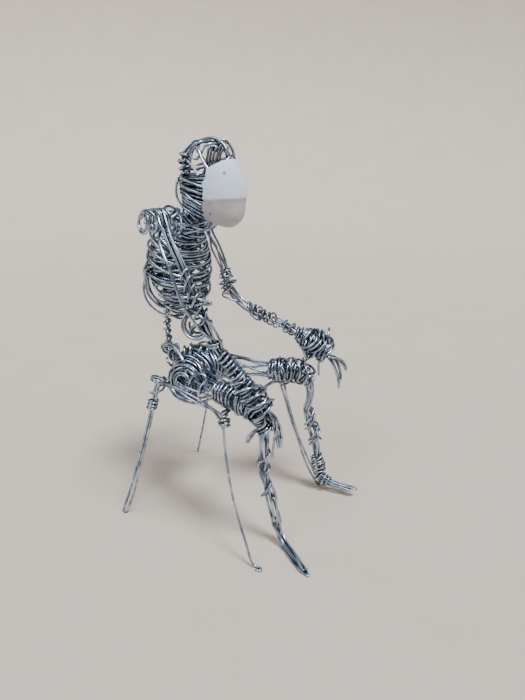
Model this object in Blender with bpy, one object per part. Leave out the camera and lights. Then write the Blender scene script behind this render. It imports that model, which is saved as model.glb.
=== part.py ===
"""A hand-wound wire figure that sits on a four-legged wire stool, with a sheet mask round its face.

The pose is drawn in figure units, a 250th of the height, with +Z up, the face towards -Y and the
figure's right side towards -X. Every wire is a smooth line through a few chosen points, a strand that
runs along a limb, or a coil wound round one. A last step pushes the wires apart until their surfaces
clear each other, as real wires lie on each other without sharing space.
"""
import math

import bmesh
import bpy
import numpy as np

# Driving sizes, in metres
HEIGHT = 0.250
SEAT_HEIGHT = 0.097
SEAT_WIDTH = 0.079
SEAT_DEPTH = 0.054
FEET_WIDTH = 0.0975
FEET_DEPTH = 0.1115
WIRE = 0.0016
BINDING_WIRE = 0.0013
WIRE_GAP = 0.0003
MASK_WIDTH = 0.0300
MASK_HEIGHT = 0.0390
MASK_THICKNESS = 0.0006

# The pose is drawn at this height and seat height, in figure units
DRAWN_HEIGHT = 250.0
DRAWN_SEAT = 97.0
# The stool's middle lies this far behind the part's origin, which is under the middle of the whole
STOOL_BACK = 0.0148

# How finely the wires are divided
SIDES = 5
BINDING_SIDES = 4
POINTS_PER_TURN = 8
SMALL_POINTS_PER_TURN = 7
SHARPEST_BEND = math.radians(38)
LONGEST_RUN = 12.0
SETTLE_ROUNDS = 900
LEG_POINTS = 6
RAIL_POINTS = 6
MASK_COLUMNS = 12
# A wire that lies on the floor has its middle at this height, so that its underside is cut flat
FOLD_HEIGHT = 0.45 * WIRE
# Settling ends when no pair of wires lacks more than this share of the gap
CLOSE_ENOUGH = 0.02
# Stool wires give way less than windings when the wires settle
STOOL_FREEDOM = 0.3

# The seat's corners: shares of half its width and depth, and the rise over the seat's height in wires
CORNERS = {"right_back": (-0.96, 0.86, 6.0), "right_front": (-1.0, -0.97, -3.0),
           "left_front": (1.04, -1.0, -6.0), "left_back": (0.88, 1.12, 0.0)}
# The feet, in shares of half the width and depth that they span
FEET = {"right_back": (-0.95, 1.0), "right_front": (-1.03, -0.94),
        "left_front": (1.03, -1.0), "left_back": (0.95, 1.0)}
# The right front leg ends in a hook on the floor, drawn in wires
FOOT_HOOK = ((0.4, -1.6, 0.5), (0.1, -3.4, 0.45), (-0.9, -3.6, 0.45), (-1.1, -1.8, 0.5))
# Turns of binding wire at each corner, their radii in wires, and how far apart they lie
CORNER_WINDINGS = {"right_back": (5, (3.4, 2.0, 1.9, 1.9)), "right_front": (2.5, (2.0, 2.4, 2.0)),
                   "left_front": (2.5, (2.0, 2.4, 2.0)), "left_back": (2.5, (2.0, 2.4, 2.0))}
CORNER_PITCH = 2.0
# The two wires of the spine wind round each other at this distance from its middle, in figure units
SPINE_RADIUS = 1.15
SPINE_TWIST = 8

UNIT = HEIGHT / DRAWN_HEIGHT
WIRE_UNITS = WIRE / UNIT
BINDING_UNITS = BINDING_WIRE / UNIT
GAP_UNITS = WIRE_GAP / UNIT
FULL_TURN = 2 * math.pi


def unit(vectors):
    vectors = np.asarray(vectors, float)
    return vectors / np.maximum(np.linalg.norm(vectors, axis=-1, keepdims=True), 1e-12)


def spline(points, fine=16):
    """A smooth line through the points, by centripetal Catmull-Rom pieces."""
    p = np.asarray(points, float)
    p = np.vstack([2 * p[0] - p[1], p, 2 * p[-1] - p[-2]])
    knots = np.concatenate([[0], np.cumsum(np.sqrt(np.linalg.norm(np.diff(p, axis=0), axis=1)))])
    rows = []
    for i in range(1, len(p) - 2):
        t = np.linspace(knots[i], knots[i + 1], fine, endpoint=False)[:, None]

        def between(a, b, left, right):
            return (knots[right] - t) / (knots[right] - knots[left]) * a \
                + (t - knots[left]) / (knots[right] - knots[left]) * b

        first = between(p[i - 1], p[i], i - 1, i)
        second = between(p[i], p[i + 1], i, i + 1)
        third = between(p[i + 1], p[i + 2], i + 1, i + 2)
        rows.append(between(between(first, second, i - 1, i + 1), between(second, third, i, i + 2), i,
                            i + 1))
    rows.append(p[-2:-1])
    return np.vstack(rows)


def thinned(path, bend=SHARPEST_BEND, longest=LONGEST_RUN):
    """Keeps the points that a line needs, so that no stretch turns by more than bend or runs too long."""
    path = np.asarray(path, float)
    steps = np.diff(path, axis=0)
    lengths = np.linalg.norm(steps, axis=1)
    along = unit(steps)
    turns = np.arccos(np.clip((along[1:] * along[:-1]).sum(1), -1, 1))
    cost = np.concatenate([[0], np.cumsum(lengths / longest)])
    cost[1:-1] += np.cumsum(turns / bend)
    cost[-1] = max(cost[-1], cost[-2] + 1e-6)
    count = max(2, int(math.ceil(cost[-1])) + 1)
    places = np.linspace(0, cost[-1], count)
    return np.column_stack([np.interp(places, cost, path[:, k]) for k in range(3)])


class Axis:
    """A smooth line with a frame carried along it, read by its share of length, 0 to 1."""

    def __init__(self, points, side=(1, 0, 0)):
        line = spline(points)
        length = np.concatenate([[0], np.cumsum(np.linalg.norm(np.diff(line, axis=0), axis=1))])
        even = np.linspace(0, length[-1], max(8, int(length[-1])))
        self.length = length[-1]
        self.line = np.column_stack([np.interp(even, length, line[:, k]) for k in range(3)])
        self.along = unit(np.gradient(self.line, axis=0))
        self.side = np.empty_like(self.line)
        side = np.asarray(side, float)
        for i, direction in enumerate(self.along):
            side = unit(side - direction * (side @ direction))
            self.side[i] = side
        self.up = np.cross(self.along, self.side)

    def read(self, rows, shares):
        places = np.linspace(0, 1, len(self.line))
        return np.column_stack([np.interp(shares, places, rows[:, k]) for k in range(3)])

    def place(self, shares, side, up, along=0.0):
        """Points at shares of the line, moved off it to the side, up and along."""
        inside = np.clip(shares, 0, 1)
        beyond = (shares - inside) * self.length + along
        count = len(shares)
        return (self.read(self.line, inside)
                + self.read(self.side, inside) * np.broadcast_to(side, count)[:, None]
                + self.read(self.up, inside) * np.broadcast_to(up, count)[:, None]
                + self.read(self.along, inside) * np.broadcast_to(beyond, count)[:, None])


def sized(values, shares):
    """Reads one size, or a list of sizes spread evenly over 0 to 1, at each share."""
    values = np.atleast_1d(np.asarray(values, float))
    return np.interp(shares, np.linspace(0, 1, len(values)), values)


def coil(axis, turns, start, end, wide, deep=None, phase=0.0, tilt=0.0, lean=0.0, rough=0.0, seed=0,
         per_turn=POINTS_PER_TURN):
    """A wire wound round an axis between two shares of it. wide and deep are its radii there.

    tilt slants each turn by that size towards the direction lean, and rough varies the turns by chance.
    """
    count = max(4, int(round(turns * per_turn)) + 1)
    shares = np.linspace(0, 1, count)
    angle = (phase + shares * turns) * FULL_TURN
    wide = sized(wide, shares)
    deep = wide if deep is None else sized(deep, shares)
    chance = np.random.default_rng(seed)
    knots = np.linspace(0, 1, max(3, int(turns * 1.5) + 2))
    wobble = [np.interp(shares, knots, chance.uniform(-1, 1, len(knots))) for _ in range(3)]
    grow = 1 + 0.5 * rough * wobble[0]
    slant = tilt * np.cos(angle - lean * FULL_TURN) \
        + rough * wide * (wobble[1] * np.cos(angle) + wobble[2] * np.sin(angle))
    return axis.place(start + (end - start) * shares, wide * grow * np.cos(angle),
                      deep * grow * np.sin(angle), slant)


def strand(axis, start, end, out, phase=0.0, twist=0.0):
    """A wire that runs along an axis at the distance out from it, and winds round it twist times."""
    shares = np.linspace(0, 1, max(8, int(abs(end - start) * axis.length)))
    angle = (phase + twist * shares) * FULL_TURN
    out = sized(out, shares)
    return axis.place(start + (end - start) * shares, out * np.cos(angle), out * np.sin(angle))


def spiral(centre, facing, side, inner, outer, turns, rise=0.0, phase=0.0):
    """A spiral round a centre, in the plane that faces along facing, its middle raised by rise."""
    up = np.cross(facing, side)
    shares = np.linspace(0, 1, int(turns * POINTS_PER_TURN) + 1)
    angle = (phase + turns * shares) * FULL_TURN
    radius = inner + (outer - inner) * shares
    return (np.asarray(centre, float) + np.outer(radius * np.cos(angle), side)
            + np.outer(radius * np.sin(angle), up) + np.outer(rise * (1 - shares), facing))


def placed(path):
    """Turns drawn figure units into metres: shins follow the seat height, the rest what is left over."""
    path = np.array(path, float)
    height = path[:, 2].copy()
    above = (HEIGHT - SEAT_HEIGHT) / (DRAWN_HEIGHT - DRAWN_SEAT)
    path *= UNIT
    path[:, 2] = np.where(height < DRAWN_SEAT, height * SEAT_HEIGHT / DRAWN_SEAT,
                          SEAT_HEIGHT + (height - DRAWN_SEAT) * above)
    path[:, 1] += STOOL_BACK
    return path


class Wires:
    """The wires made so far: name, path in metres, thickness, and how freely each point may be pushed."""

    def __init__(self):
        self.rows = []

    def add(self, name, path, thickness=WIRE, freedom=1.0, drawn=True):
        path = placed(path) if drawn else np.asarray(path, float)
        free = np.full(len(path), float(freedom))
        free[path[:, 2] < WIRE] = 0.0
        self.rows.append([name, path, thickness, free])


# Limb axes, in figure units; each runs from the body outwards
HEAD_AXIS = Axis([(0, 17, 200), (0, 12, 207), (0, 6, 216), (0, 3, 228), (0, 3, 240), (0, 3, 249)])
NECK_AXIS = Axis([(0, 18, 194), (0, 18, 200), (0, 15, 206), (0, 12, 210)])
TRUNK_AXIS = Axis([(0, 18, 205), (0, 24, 197), (0, 28, 186), (0, 29, 174), (0, 28.5, 161), (0, 29, 152),
                   (0, 31, 142)])
SPINE_AXIS = Axis([(0, 19, 203), (0, 31, 192), (0, 40, 178), (0, 42, 160), (0, 42, 140), (0, 43, 126),
                   (0, 41.5, 116), (-3, 37, 110)])
HIP_AXIS = Axis([(-21, 15, 100), (-10, 16, 102), (0, 17, 103), (10, 16, 102), (21, 15, 100)],
                side=(0, 1, 0))
RIGHT_SHOULDER_AXIS = Axis([(-34, 11, 206.5), (-41, 13, 206), (-49, 15.7, 205.5)], side=(0, 0, 1))
LEFT_SHOULDER_AXIS = Axis([(26, 25, 199), (34, 28, 198), (42, 31, 197)], side=(0, 0, 1))
RIGHT_ARM_AXIS = Axis([(-41, 10, 210), (-43, 5, 202), (-45, 0, 193.8), (-46, -5.8, 185), (-47, -12.4, 173),
                       (-47, -17.2, 162), (-46, -20.7, 153), (-44, -23.6, 142.4), (-43, -28.5, 135),
                       (-41, -34.5, 126), (-37, -41, 114), (-34, -47.4, 105), (-33, -50.8, 99)],
                      side=(0, 1, 0))
LEFT_ARM_AXIS = Axis([(30, 28, 203), (31, 27, 192), (34, 22, 179), (37, 18.5, 166), (38, 17, 156),
                      (40, 10, 144), (41, 2, 138), (41, -10, 133.5), (41, -24, 130), (41, -38.5, 124),
                      (41, -49, 120), (41, -60, 114)], side=(0, 1, 0))
RIGHT_LEG_AXIS = Axis([(-20, 12, 100), (-22, -4, 100), (-25, -20, 100), (-28, -36, 99), (-30, -46, 96),
                       (-31.5, -50, 88), (-31, -50, 78), (-30, -49, 68), (-28, -48, 54), (-26, -49.5, 40),
                       (-24.5, -53, 26), (-23.5, -56.5, 12), (-23, -58, 5)])
LEFT_LEG_AXIS = Axis([(20, 12, 101), (20, -4, 101), (22, -16, 100), (27, -28, 100), (33, -41, 100),
                      (36, -48, 95), (37, -50.8, 83), (38, -48.6, 70), (40, -51, 56), (42, -54, 43),
                      (44, -54.5, 30), (46, -56, 18), (47, -57, 9)])
# Strands bound side by side lie this far from the limb's axis
BOUND = 0.62 * (WIRE_UNITS + GAP_UNITS)


def head(wires):
    wires.add("head_winding", coil(HEAD_AXIS, 6.5, 0.10, 0.62, [9, 12.5, 13.4, 13.4, 12.6],
                                   [9.5, 15, 17.2, 17.5, 16.8], phase=0.3, tilt=2.5, lean=0.75, rough=0.04,
                                   seed=1))
    wires.add("crown_arch", thinned(spline([(-7, 16, 222), (-6.5, 18, 229), (-5, 17.5, 235.5),
                                            (-4, 15.6, 242), (-2, 12.8, 246.6), (0, 8.5, 248.4),
                                            (1, 2.3, 248.6), (2, -3.8, 246.6), (2, -8.8, 242),
                                            (3, -11, 236.5), (4, -11.4, 230)])))
    wires.add("crown_loops", thinned(spline([(-9, 15, 233), (-8.5, 16, 239), (-6, 14.5, 244),
                                             (-3.5, 11, 247.4), (-4.5, 7.6, 247.6), (-7, 5.6, 244),
                                             (-9, 2.9, 239), (-10, -0.3, 234.7), (-10.4, -3.2, 231),
                                             (-8.5, -5.5, 227)])))
    wires.add("neck_winding", coil(NECK_AXIS, 3.2, 0.0, 1.0, [8, 7.5, 8], [8.5, 8, 9], phase=0.5, tilt=2.5,
                                   lean=0.25, rough=0.06, seed=6))


def trunk(wires):
    wires.add("upper_rib_winding", coil(TRUNK_AXIS, 5, 0.10, 0.52, [13, 18, 21, 21.6],
                                        [8.5, 13, 16.8, 17.2], phase=0.2, tilt=1.2, lean=0.2, rough=0.04,
                                        seed=8))
    wires.add("lower_rib_winding", coil(TRUNK_AXIS, 4, 0.56, 0.94, [21.4, 19.4, 16, 12], [17, 15.2, 13, 10],
                                        phase=0.2, tilt=1.6, lean=0.25, rough=0.06, seed=9))
    wires.add("side_rib_turns", coil(TRUNK_AXIS, 3, 0.22, 0.70, [19.5, 22.5, 21], [16.5, 19, 17.5],
                                     phase=0.4, tilt=7, lean=0.30, rough=0.06, seed=10))
    wires.add("big_rib_loop", thinned(spline([(-20, 20, 184), (-20, 32, 177.5), (-18, 41, 169.7),
                                              (-15, 48.4, 158), (-12.5, 47.4, 147.8), (-10.5, 38, 141),
                                              (-6, 26.5, 140.6), (2, 18, 145), (10, 16, 155), (17, 26, 161),
                                              (15, 39, 165), (6, 48, 166.5), (-6, 50.6, 165),
                                              (-11, 45.4, 155), (-8.8, 36.6, 145), (-3, 26, 145),
                                              (5, 22, 149)])))
    for number in range(2):
        wires.add("spine_wire_%d" % (number + 1),
                  thinned(strand(SPINE_AXIS, 0.0, 1.0, SPINE_RADIUS, phase=0.5 * number, twist=SPINE_TWIST),
                          bend=math.radians(60)), BINDING_WIRE, freedom=0.5)
    wires.add("collar_wire", thinned(spline([(-46, 19, 199), (-38, 21, 209), (-28, 16, 205), (-18, 14, 209),
                                             (-9, 24, 209), (-3, 28, 203), (6, 26, 199), (10, 16, 200),
                                             (3, 8, 202), (-8, 8, 201), (-20, 14, 200), (-30, 10, 198),
                                             (-36, 4, 199)])))
    wires.add("left_collar_wire", thinned(spline([(9, 26, 207), (3, 30, 201), (-5, 26, 197), (-9, 18, 197),
                                                  (-3, 10, 197), (8, 12, 198), (20, 20, 203), (30, 25, 206),
                                                  (39, 33, 200)])))


def hips(wires):
    wires.add("right_hip_spiral", spiral((-21, 15, 100), (-1, 0, 0), (0, 1, 0), 3.0, 12.0, 3.6, rise=2.0))
    wires.add("left_hip_spiral", spiral((21, 15, 100), (1, 0, 0), (0, 1, 0), 3.0, 12.0, 3.6, rise=2.0))
    wires.add("hip_winding", coil(HIP_AXIS, 7, 0.08, 0.92, [12, 13.5, 14.5, 14, 12], [11, 13, 13.5, 13, 11],
                                  phase=0.1, tilt=1.5, lean=0.2, rough=0.05, seed=14))
    axis = Axis([(-8, 31, 110.5), (-2, 38, 112.5), (5, 40, 111)], side=(0, 0, 1))
    wires.add("spine_foot_coil", coil(axis, 3, 0, 1, [3.4, 3.8, 3.4], rough=0.1, seed=15,
                                      per_turn=SMALL_POINTS_PER_TURN))


def right_arm(wires):
    wires.add("right_shoulder_coil", coil(RIGHT_SHOULDER_AXIS, 4.5, 0.0, 1.0, [5.4, 5.8, 6.0, 5.6],
                                          phase=0.25, rough=0.04, seed=17, per_turn=SMALL_POINTS_PER_TURN))
    fingers = ([(-33, -56, 95), (-29, -57, 84), (-27, -58, 74)],
               [(-36, -53, 93), (-38.5, -46, 87), (-39, -42, 79.5)])
    for number, finger in enumerate(fingers):
        core = strand(RIGHT_ARM_AXIS, 0.0, 1.0, [1.8, 1.6, BOUND, BOUND, BOUND], phase=number * 0.5,
                      twist=0.6)
        wires.add("right_arm_wire_%d" % (number + 1),
                  thinned(np.vstack([core[:-1], spline([core[-1]] + finger)])), freedom=0.5)
    wires.add("right_arm_brace", thinned(spline([(-37, 12, 202), (-44, 9.5, 196.5), (-48, 3.5, 188.5),
                                                 (-49.5, -1, 181.4), (-50, -8, 164.5), (-49.5, -13, 157),
                                                 (-49, -18.5, 150), (-47, -25, 144)])), freedom=0.7)
    axis = Axis([(-48.5, -15.1, 152), (-46, -13.8, 151), (-43.5, -12.5, 150)], side=(0, 0, 1))
    wires.add("right_elbow_loops", coil(axis, 2.3, 0, 1, [8.6, 7.4, 4.8], [8.0, 6.8, 4.4], phase=0.2,
                                        tilt=0.8, lean=0.3, rough=0.04, seed=19))
    wires.add("right_forearm_winding", coil(RIGHT_ARM_AXIS, 4.5, 0.65, 0.82, [3.4, 3.9, 4.5], phase=0.2,
                                            rough=0.1, seed=20, per_turn=SMALL_POINTS_PER_TURN))
    wires.add("right_hand_winding", coil(RIGHT_ARM_AXIS, 4, 0.84, 1.0, [4.8, 6.2, 6.8], phase=0.4,
                                         rough=0.08, seed=21))


def left_arm(wires):
    wires.add("left_shoulder_coil", coil(LEFT_SHOULDER_AXIS, 4, 0, 1, [5.0, 5.6, 5.6, 5.0], phase=0.25,
                                         rough=0.04, seed=22, per_turn=SMALL_POINTS_PER_TURN))
    fingers = ([(44, -66, 110), (46, -72, 103), (46, -73, 101)],
               [(41, -64, 108), (42, -69, 95), (42, -70, 89)])
    for number, finger in enumerate(fingers):
        core = strand(LEFT_ARM_AXIS, 0.0, 1.0, [2.4, 2.4, BOUND, 2.0, BOUND, BOUND], phase=number * 0.5,
                      twist=0.7)
        wires.add("left_arm_wire_%d" % (number + 1),
                  thinned(np.vstack([core[:-1], spline([core[-1]] + finger)])), freedom=0.5)
    wires.add("left_elbow_winding", coil(LEFT_ARM_AXIS, 3, 0.30, 0.39, [3.8, 5.0, 4.0], rough=0.1, seed=23,
                                         per_turn=SMALL_POINTS_PER_TURN), BINDING_WIRE)
    wires.add("left_forearm_winding", coil(LEFT_ARM_AXIS, 5, 0.51, 0.74, [3.4, 4.2, 3.6, 3.8], rough=0.1,
                                           seed=24, per_turn=SMALL_POINTS_PER_TURN), BINDING_WIRE)
    wires.add("left_hand_winding", coil(LEFT_ARM_AXIS, 6, 0.82, 1.0, [4.2, 7.4, 8.6, 7.0], phase=0.2,
                                        rough=0.08, seed=25, per_turn=SMALL_POINTS_PER_TURN))


def leg_wire(axis, foot, out, twist):
    """One wire that runs down a limb, forms the foot's long loop and runs up again beside itself."""
    down = strand(axis, 0.0, 0.97, out, twist=twist)
    up = strand(axis, 0.97, 0.0, out[::-1], phase=0.5 + twist, twist=-twist)
    return thinned(np.vstack([down, spline([down[-1]] + foot + [up[0]])[1:-1], up]))


def right_leg(wires):
    foot = [(-25.5, -60, 1.6), (-34.5, -71, 0.9), (-41, -83, 0.8), (-42, -86, 0.8), (-39.8, -84.4, 0.8),
            (-30, -73, 0.9), (-22.6, -62, 2.2)]
    wires.add("right_leg_wire", leg_wire(RIGHT_LEG_AXIS, foot, [5.0, 3.6, 2.0, 1.8, 1.8, 1.8, 2.0, BOUND],
                                         1.2), freedom=0.4)
    wires.add("right_leg_second_wire", thinned(strand(RIGHT_LEG_AXIS, 0.0, 0.86,
                                                      [5.0, 3.6, 2.0, 1.9, 1.8, 1.8], phase=0.25,
                                                      twist=1.2)), freedom=0.4)
    wires.add("right_thigh_winding", coil(RIGHT_LEG_AXIS, 4, 0.17, 0.32, [6.0, 7.5, 7.0], phase=0.1,
                                          rough=0.06, seed=26))
    wires.add("right_knee_winding", coil(RIGHT_LEG_AXIS, 4, 0.34, 0.47, [7.0, 6.2, 5.4, 4.4], phase=0.1,
                                         rough=0.06, seed=27))
    wires.add("right_shin_winding", coil(RIGHT_LEG_AXIS, 3, 0.56, 0.70, [3.4, 4.0, 3.4], rough=0.1, seed=28,
                                         per_turn=SMALL_POINTS_PER_TURN), BINDING_WIRE)


def left_leg(wires):
    foot = [(48, -62, 6.5), (49.5, -75, 7), (48, -86, 6.8), (46.5, -78, 8), (45.5, -66, 9.5)]
    wires.add("left_leg_wire", leg_wire(LEFT_LEG_AXIS, foot, [5.5, 4.4, 2.6, 2.0, 2.0, 1.9, 1.8, BOUND],
                                        1.1), freedom=0.4)
    wires.add("left_leg_second_wire", thinned(strand(LEFT_LEG_AXIS, 0.0, 0.93,
                                                     [5.5, 4.4, 2.6, 2.0, 2.0, 1.9], phase=0.25,
                                                     twist=1.1)), freedom=0.4)
    wires.add("left_knee_winding", coil(LEFT_LEG_AXIS, 5.5, 0.24, 0.44, [6.4, 6.9, 6.6, 5.2], phase=0.1,
                                        rough=0.06, seed=30))
    wires.add("left_shin_winding", coil(LEFT_LEG_AXIS, 3, 0.56, 0.74, [3.6, 4.6, 3.8], rough=0.1, seed=31,
                                        per_turn=SMALL_POINTS_PER_TURN))
    wires.add("left_ankle_winding", coil(LEFT_LEG_AXIS, 3, 0.87, 0.95, [3.6, 4.2, 3.8], rough=0.1, seed=32,
                                         per_turn=SMALL_POINTS_PER_TURN), BINDING_WIRE)


def corner(name, lift=0.0, inset=0.0):
    """A corner of the seat frame, in metres, raised by lift wires and moved inwards by inset."""
    side, end, rise = CORNERS[name]
    return np.array([side * SEAT_WIDTH / 2 - math.copysign(inset, side),
                     end * SEAT_DEPTH / 2 - math.copysign(inset, end) + STOOL_BACK,
                     SEAT_HEIGHT + (rise + lift) * WIRE])


def leg_line(name, lift, foot_height, bow):
    """Points from a seat corner down to its foot, bowed to the stool's middle by a share of its length."""
    side, end = FEET[name]
    foot = np.array([side * FEET_WIDTH / 2, end * FEET_DEPTH / 2 + STOOL_BACK, foot_height])
    start = corner(name, lift)
    shares = np.linspace(0, 1, LEG_POINTS)[:, None]
    line = start + (foot - start) * shares
    line[:, 1] -= math.copysign(bow, end) * np.linalg.norm(foot - start) * np.sin(math.pi * shares[:, 0])
    return line


def folded_leg(name, bow, apart):
    """A doubled leg: one wire that runs down, folds on the floor and runs up again beside itself."""
    down = leg_line(name, 0.0, WIRE, bow)
    up = leg_line(name, -1.0, WIRE, bow)[::-1] + apart
    fold = (down[-1] + up[0]) / 2 + (0, 0, FOLD_HEIGHT - WIRE)
    return np.vstack([down, fold, up])


def rail(start, end, bow):
    """A seat rail between two corners, bowed at its middle by bow, a vector in shares of its length."""
    shares = np.linspace(0, 1, RAIL_POINTS)[:, None]
    length = np.linalg.norm(end - start)
    return start + (end - start) * shares + np.sin(math.pi * shares) * length * np.asarray(bow)


def stool(wires):
    apart = np.array([0.0, -1.0, 0.0]) * (WIRE + WIRE_GAP)
    hook = np.array(FOOT_HOOK) * WIRE
    front_leg = leg_line("right_front", -1.0, WIRE, 0.05)
    legs = {"right_back": folded_leg("right_back", 0.015, apart),
            "left_front": folded_leg("left_front", 0.04, -apart),
            "right_front": np.vstack([front_leg, front_leg[-1] * (1, 1, 0) + hook]),
            "left_back": leg_line("left_back", -1.0, 0.0, -0.02)}
    for name, path in legs.items():
        wires.add(name + "_stool_leg", path, freedom=STOOL_FREEDOM, drawn=False)

    inset = WIRE + WIRE_GAP
    rails = {"right": (corner("right_back", -1, inset), corner("right_front", 0, inset), (0.09, 0, -0.02)),
             "left": (corner("left_back", 0, inset), corner("left_front", 0, inset), (-0.055, 0, -0.02)),
             "front": (corner("right_front", 1, -inset), corner("left_front", 1, -inset), (0, 0, 0)),
             "back": (corner("right_back", -3), corner("left_back", -1), (0, 0, -0.04))}
    for name, (start, end, bow) in rails.items():
        wires.add(name + "_seat_rail", rail(start, end, bow), freedom=STOOL_FREEDOM, drawn=False)

    for name, (turns, wide) in CORNER_WINDINGS.items():
        line = leg_line(name, 1.0, 0.0, 0.0)
        reach = turns * CORNER_PITCH * WIRE / np.linalg.norm(line[-1] - line[0])
        path = coil(Axis(line / UNIT), turns, 0.0, reach, np.array(wide) * WIRE_UNITS, rough=0.08, seed=33,
                    per_turn=SMALL_POINTS_PER_TURN) * UNIT
        wires.add(name + "_corner_winding", path, BINDING_WIRE, drawn=False)


def near_pairs(middles, reach):
    """Pairs of points that are closer than reach, found cell by cell."""
    cells = np.floor(middles / reach).astype(np.int64)
    cells -= cells.min(0) - 1
    size = cells.max(0) + 2
    keys = (cells[:, 0] * size[1] + cells[:, 1]) * size[2] + cells[:, 2]
    order = np.argsort(keys, kind="stable")
    ranked = keys[order]
    numbers = np.arange(len(keys))
    found = []
    for x in (-1, 0, 1):
        for y in (-1, 0, 1):
            for z in (-1, 0, 1):
                step = (x * size[1] + y) * size[2] + z
                if step < 0:
                    continue
                low = np.searchsorted(ranked, keys + step, "left")
                count = np.searchsorted(ranked, keys + step, "right") - low
                offset = np.arange(count.sum()) - np.repeat(np.cumsum(count) - count, count)
                first, second = np.repeat(numbers, count), order[np.repeat(low, count) + offset]
                keep = first < second if step == 0 else first != second
                found.append(np.column_stack([first[keep], second[keep]]))
    pairs = np.vstack(found)
    near = np.linalg.norm(middles[pairs[:, 0]] - middles[pairs[:, 1]], axis=1) < reach
    return pairs[near, 0], pairs[near, 1]


def closest(start_a, end_a, start_b, end_b):
    """How far along two rows of segments their closest points lie, as shares."""
    along_a, along_b, between = end_a - start_a, end_b - start_b, start_a - start_b
    aa = (along_a * along_a).sum(1) + 1e-18
    bb = (along_b * along_b).sum(1) + 1e-18
    ab = (along_a * along_b).sum(1)
    ac = (along_a * between).sum(1)
    bc = (along_b * between).sum(1)
    spread = aa * bb - ab * ab
    flat = spread <= 1e-9 * aa * bb
    share_a = np.where(flat, 0.5, np.clip((ab * bc - ac * bb) / np.where(flat, 1, spread), 0, 1))
    share_b = np.clip((ab * share_a + bc) / bb, 0, 1)
    share_a = np.clip((ab * share_b - ac) / aa, 0, 1)
    return share_a, share_b


def settle(rows, gap, rounds):
    """Pushes wires apart until their surfaces clear each other by gap. Points with no freedom stay put."""
    counts = [len(row[1]) for row in rows]
    first = np.concatenate([[0], np.cumsum(counts)])
    drawn = np.vstack([row[1] for row in rows])
    points = drawn.copy()
    owner = np.repeat(np.arange(len(rows)), counts)
    radius = np.repeat([row[2] / 2 for row in rows], counts)
    freedom = np.concatenate([row[3] for row in rows])
    ends = np.zeros(len(points), bool)
    ends[first[:-1]] = True
    ends[first[1:] - 1] = True
    heads = np.concatenate([np.arange(first[i], first[i + 1] - 1) for i in range(len(rows))])
    inner = np.where(~ends)[0]
    lengths = np.linalg.norm(points[heads + 1] - points[heads], axis=1)
    arc = np.concatenate([np.concatenate([[0], np.cumsum(np.linalg.norm(np.diff(row[1], axis=0), axis=1))])
                          for row in rows])
    slack = 2 * WIRE
    reach = lengths.max() + 2 * radius.max() + gap + slack
    for number in range(rounds):
        if number % 20 == 0:
            middles = (points[heads] + points[heads + 1]) / 2
            a, b = near_pairs(middles, reach)
            own = (owner[heads[a]] == owner[heads[b]]) & (np.abs(heads[a] - heads[b]) <= 2)
            tight = (owner[heads[a]] == owner[heads[b]]) \
                & (np.abs(arc[heads[a]] - arc[heads[b]]) < 3.5 * (2 * radius[heads[a]] + gap))
            a, b = heads[a[~own & ~tight]], heads[b[~own & ~tight]]
            share_a, share_b = closest(points[a], points[a + 1], points[b], points[b + 1])
            apart = np.linalg.norm(points[a] + (points[a + 1] - points[a]) * share_a[:, None]
                                   - points[b] - (points[b + 1] - points[b]) * share_b[:, None], axis=1)
            near = apart < radius[a] + radius[b] + gap + slack
            a, b = a[near], b[near]
        share_a, share_b = closest(points[a], points[a + 1], points[b], points[b + 1])
        between = points[a] + (points[a + 1] - points[a]) * share_a[:, None] \
            - points[b] - (points[b + 1] - points[b]) * share_b[:, None]
        apart = np.linalg.norm(between, axis=1)
        short = radius[a] + radius[b] + gap - apart
        hit = short > 0
        if short.max() < CLOSE_ENOUGH * gap:
            break
        i, j, share_i, share_j, lack = a[hit], b[hit], share_a[hit], share_b[hit], short[hit]
        across = unit(np.cross(points[i + 1] - points[i], points[j + 1] - points[j]))
        aim = np.where((apart[hit] > 1e-6)[:, None], unit(between[hit]), across)
        free_i = freedom[i] * (1 - share_i) + freedom[i + 1] * share_i
        free_j = freedom[j] * (1 - share_j) + freedom[j + 1] * share_j
        both = np.maximum(free_i + free_j, 1e-9)
        move = np.zeros_like(points)
        weight = np.zeros(len(points))
        for index, share, push in ((i, 1 - share_i, lack * free_i / both),
                                   (i + 1, share_i, lack * free_i / both),
                                   (j, 1 - share_j, -lack * free_j / both),
                                   (j + 1, share_j, -lack * free_j / both)):
            np.add.at(move, index, aim * (push * share)[:, None])
            np.add.at(weight, index, share * share)
        points += 1.1 * move / np.maximum(weight, 0.5)[:, None] * (freedom > 0)[:, None]
        smooth = 0.5 * max(0.0, 1 - 2.5 * number / rounds)
        if smooth > 0:
            moved = points - drawn
            eased = moved.copy()
            eased[inner] = (moved[inner - 1] + 2 * moved[inner] + moved[inner + 1]) / 4
            points = drawn + moved + (eased - moved) * smooth * (freedom > 0)[:, None]
        points[:, 2] = np.where(freedom > 0, np.maximum(points[:, 2], FOLD_HEIGHT), points[:, 2])
    return [points[first[k]:first[k + 1]] for k in range(len(rows))]



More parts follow.
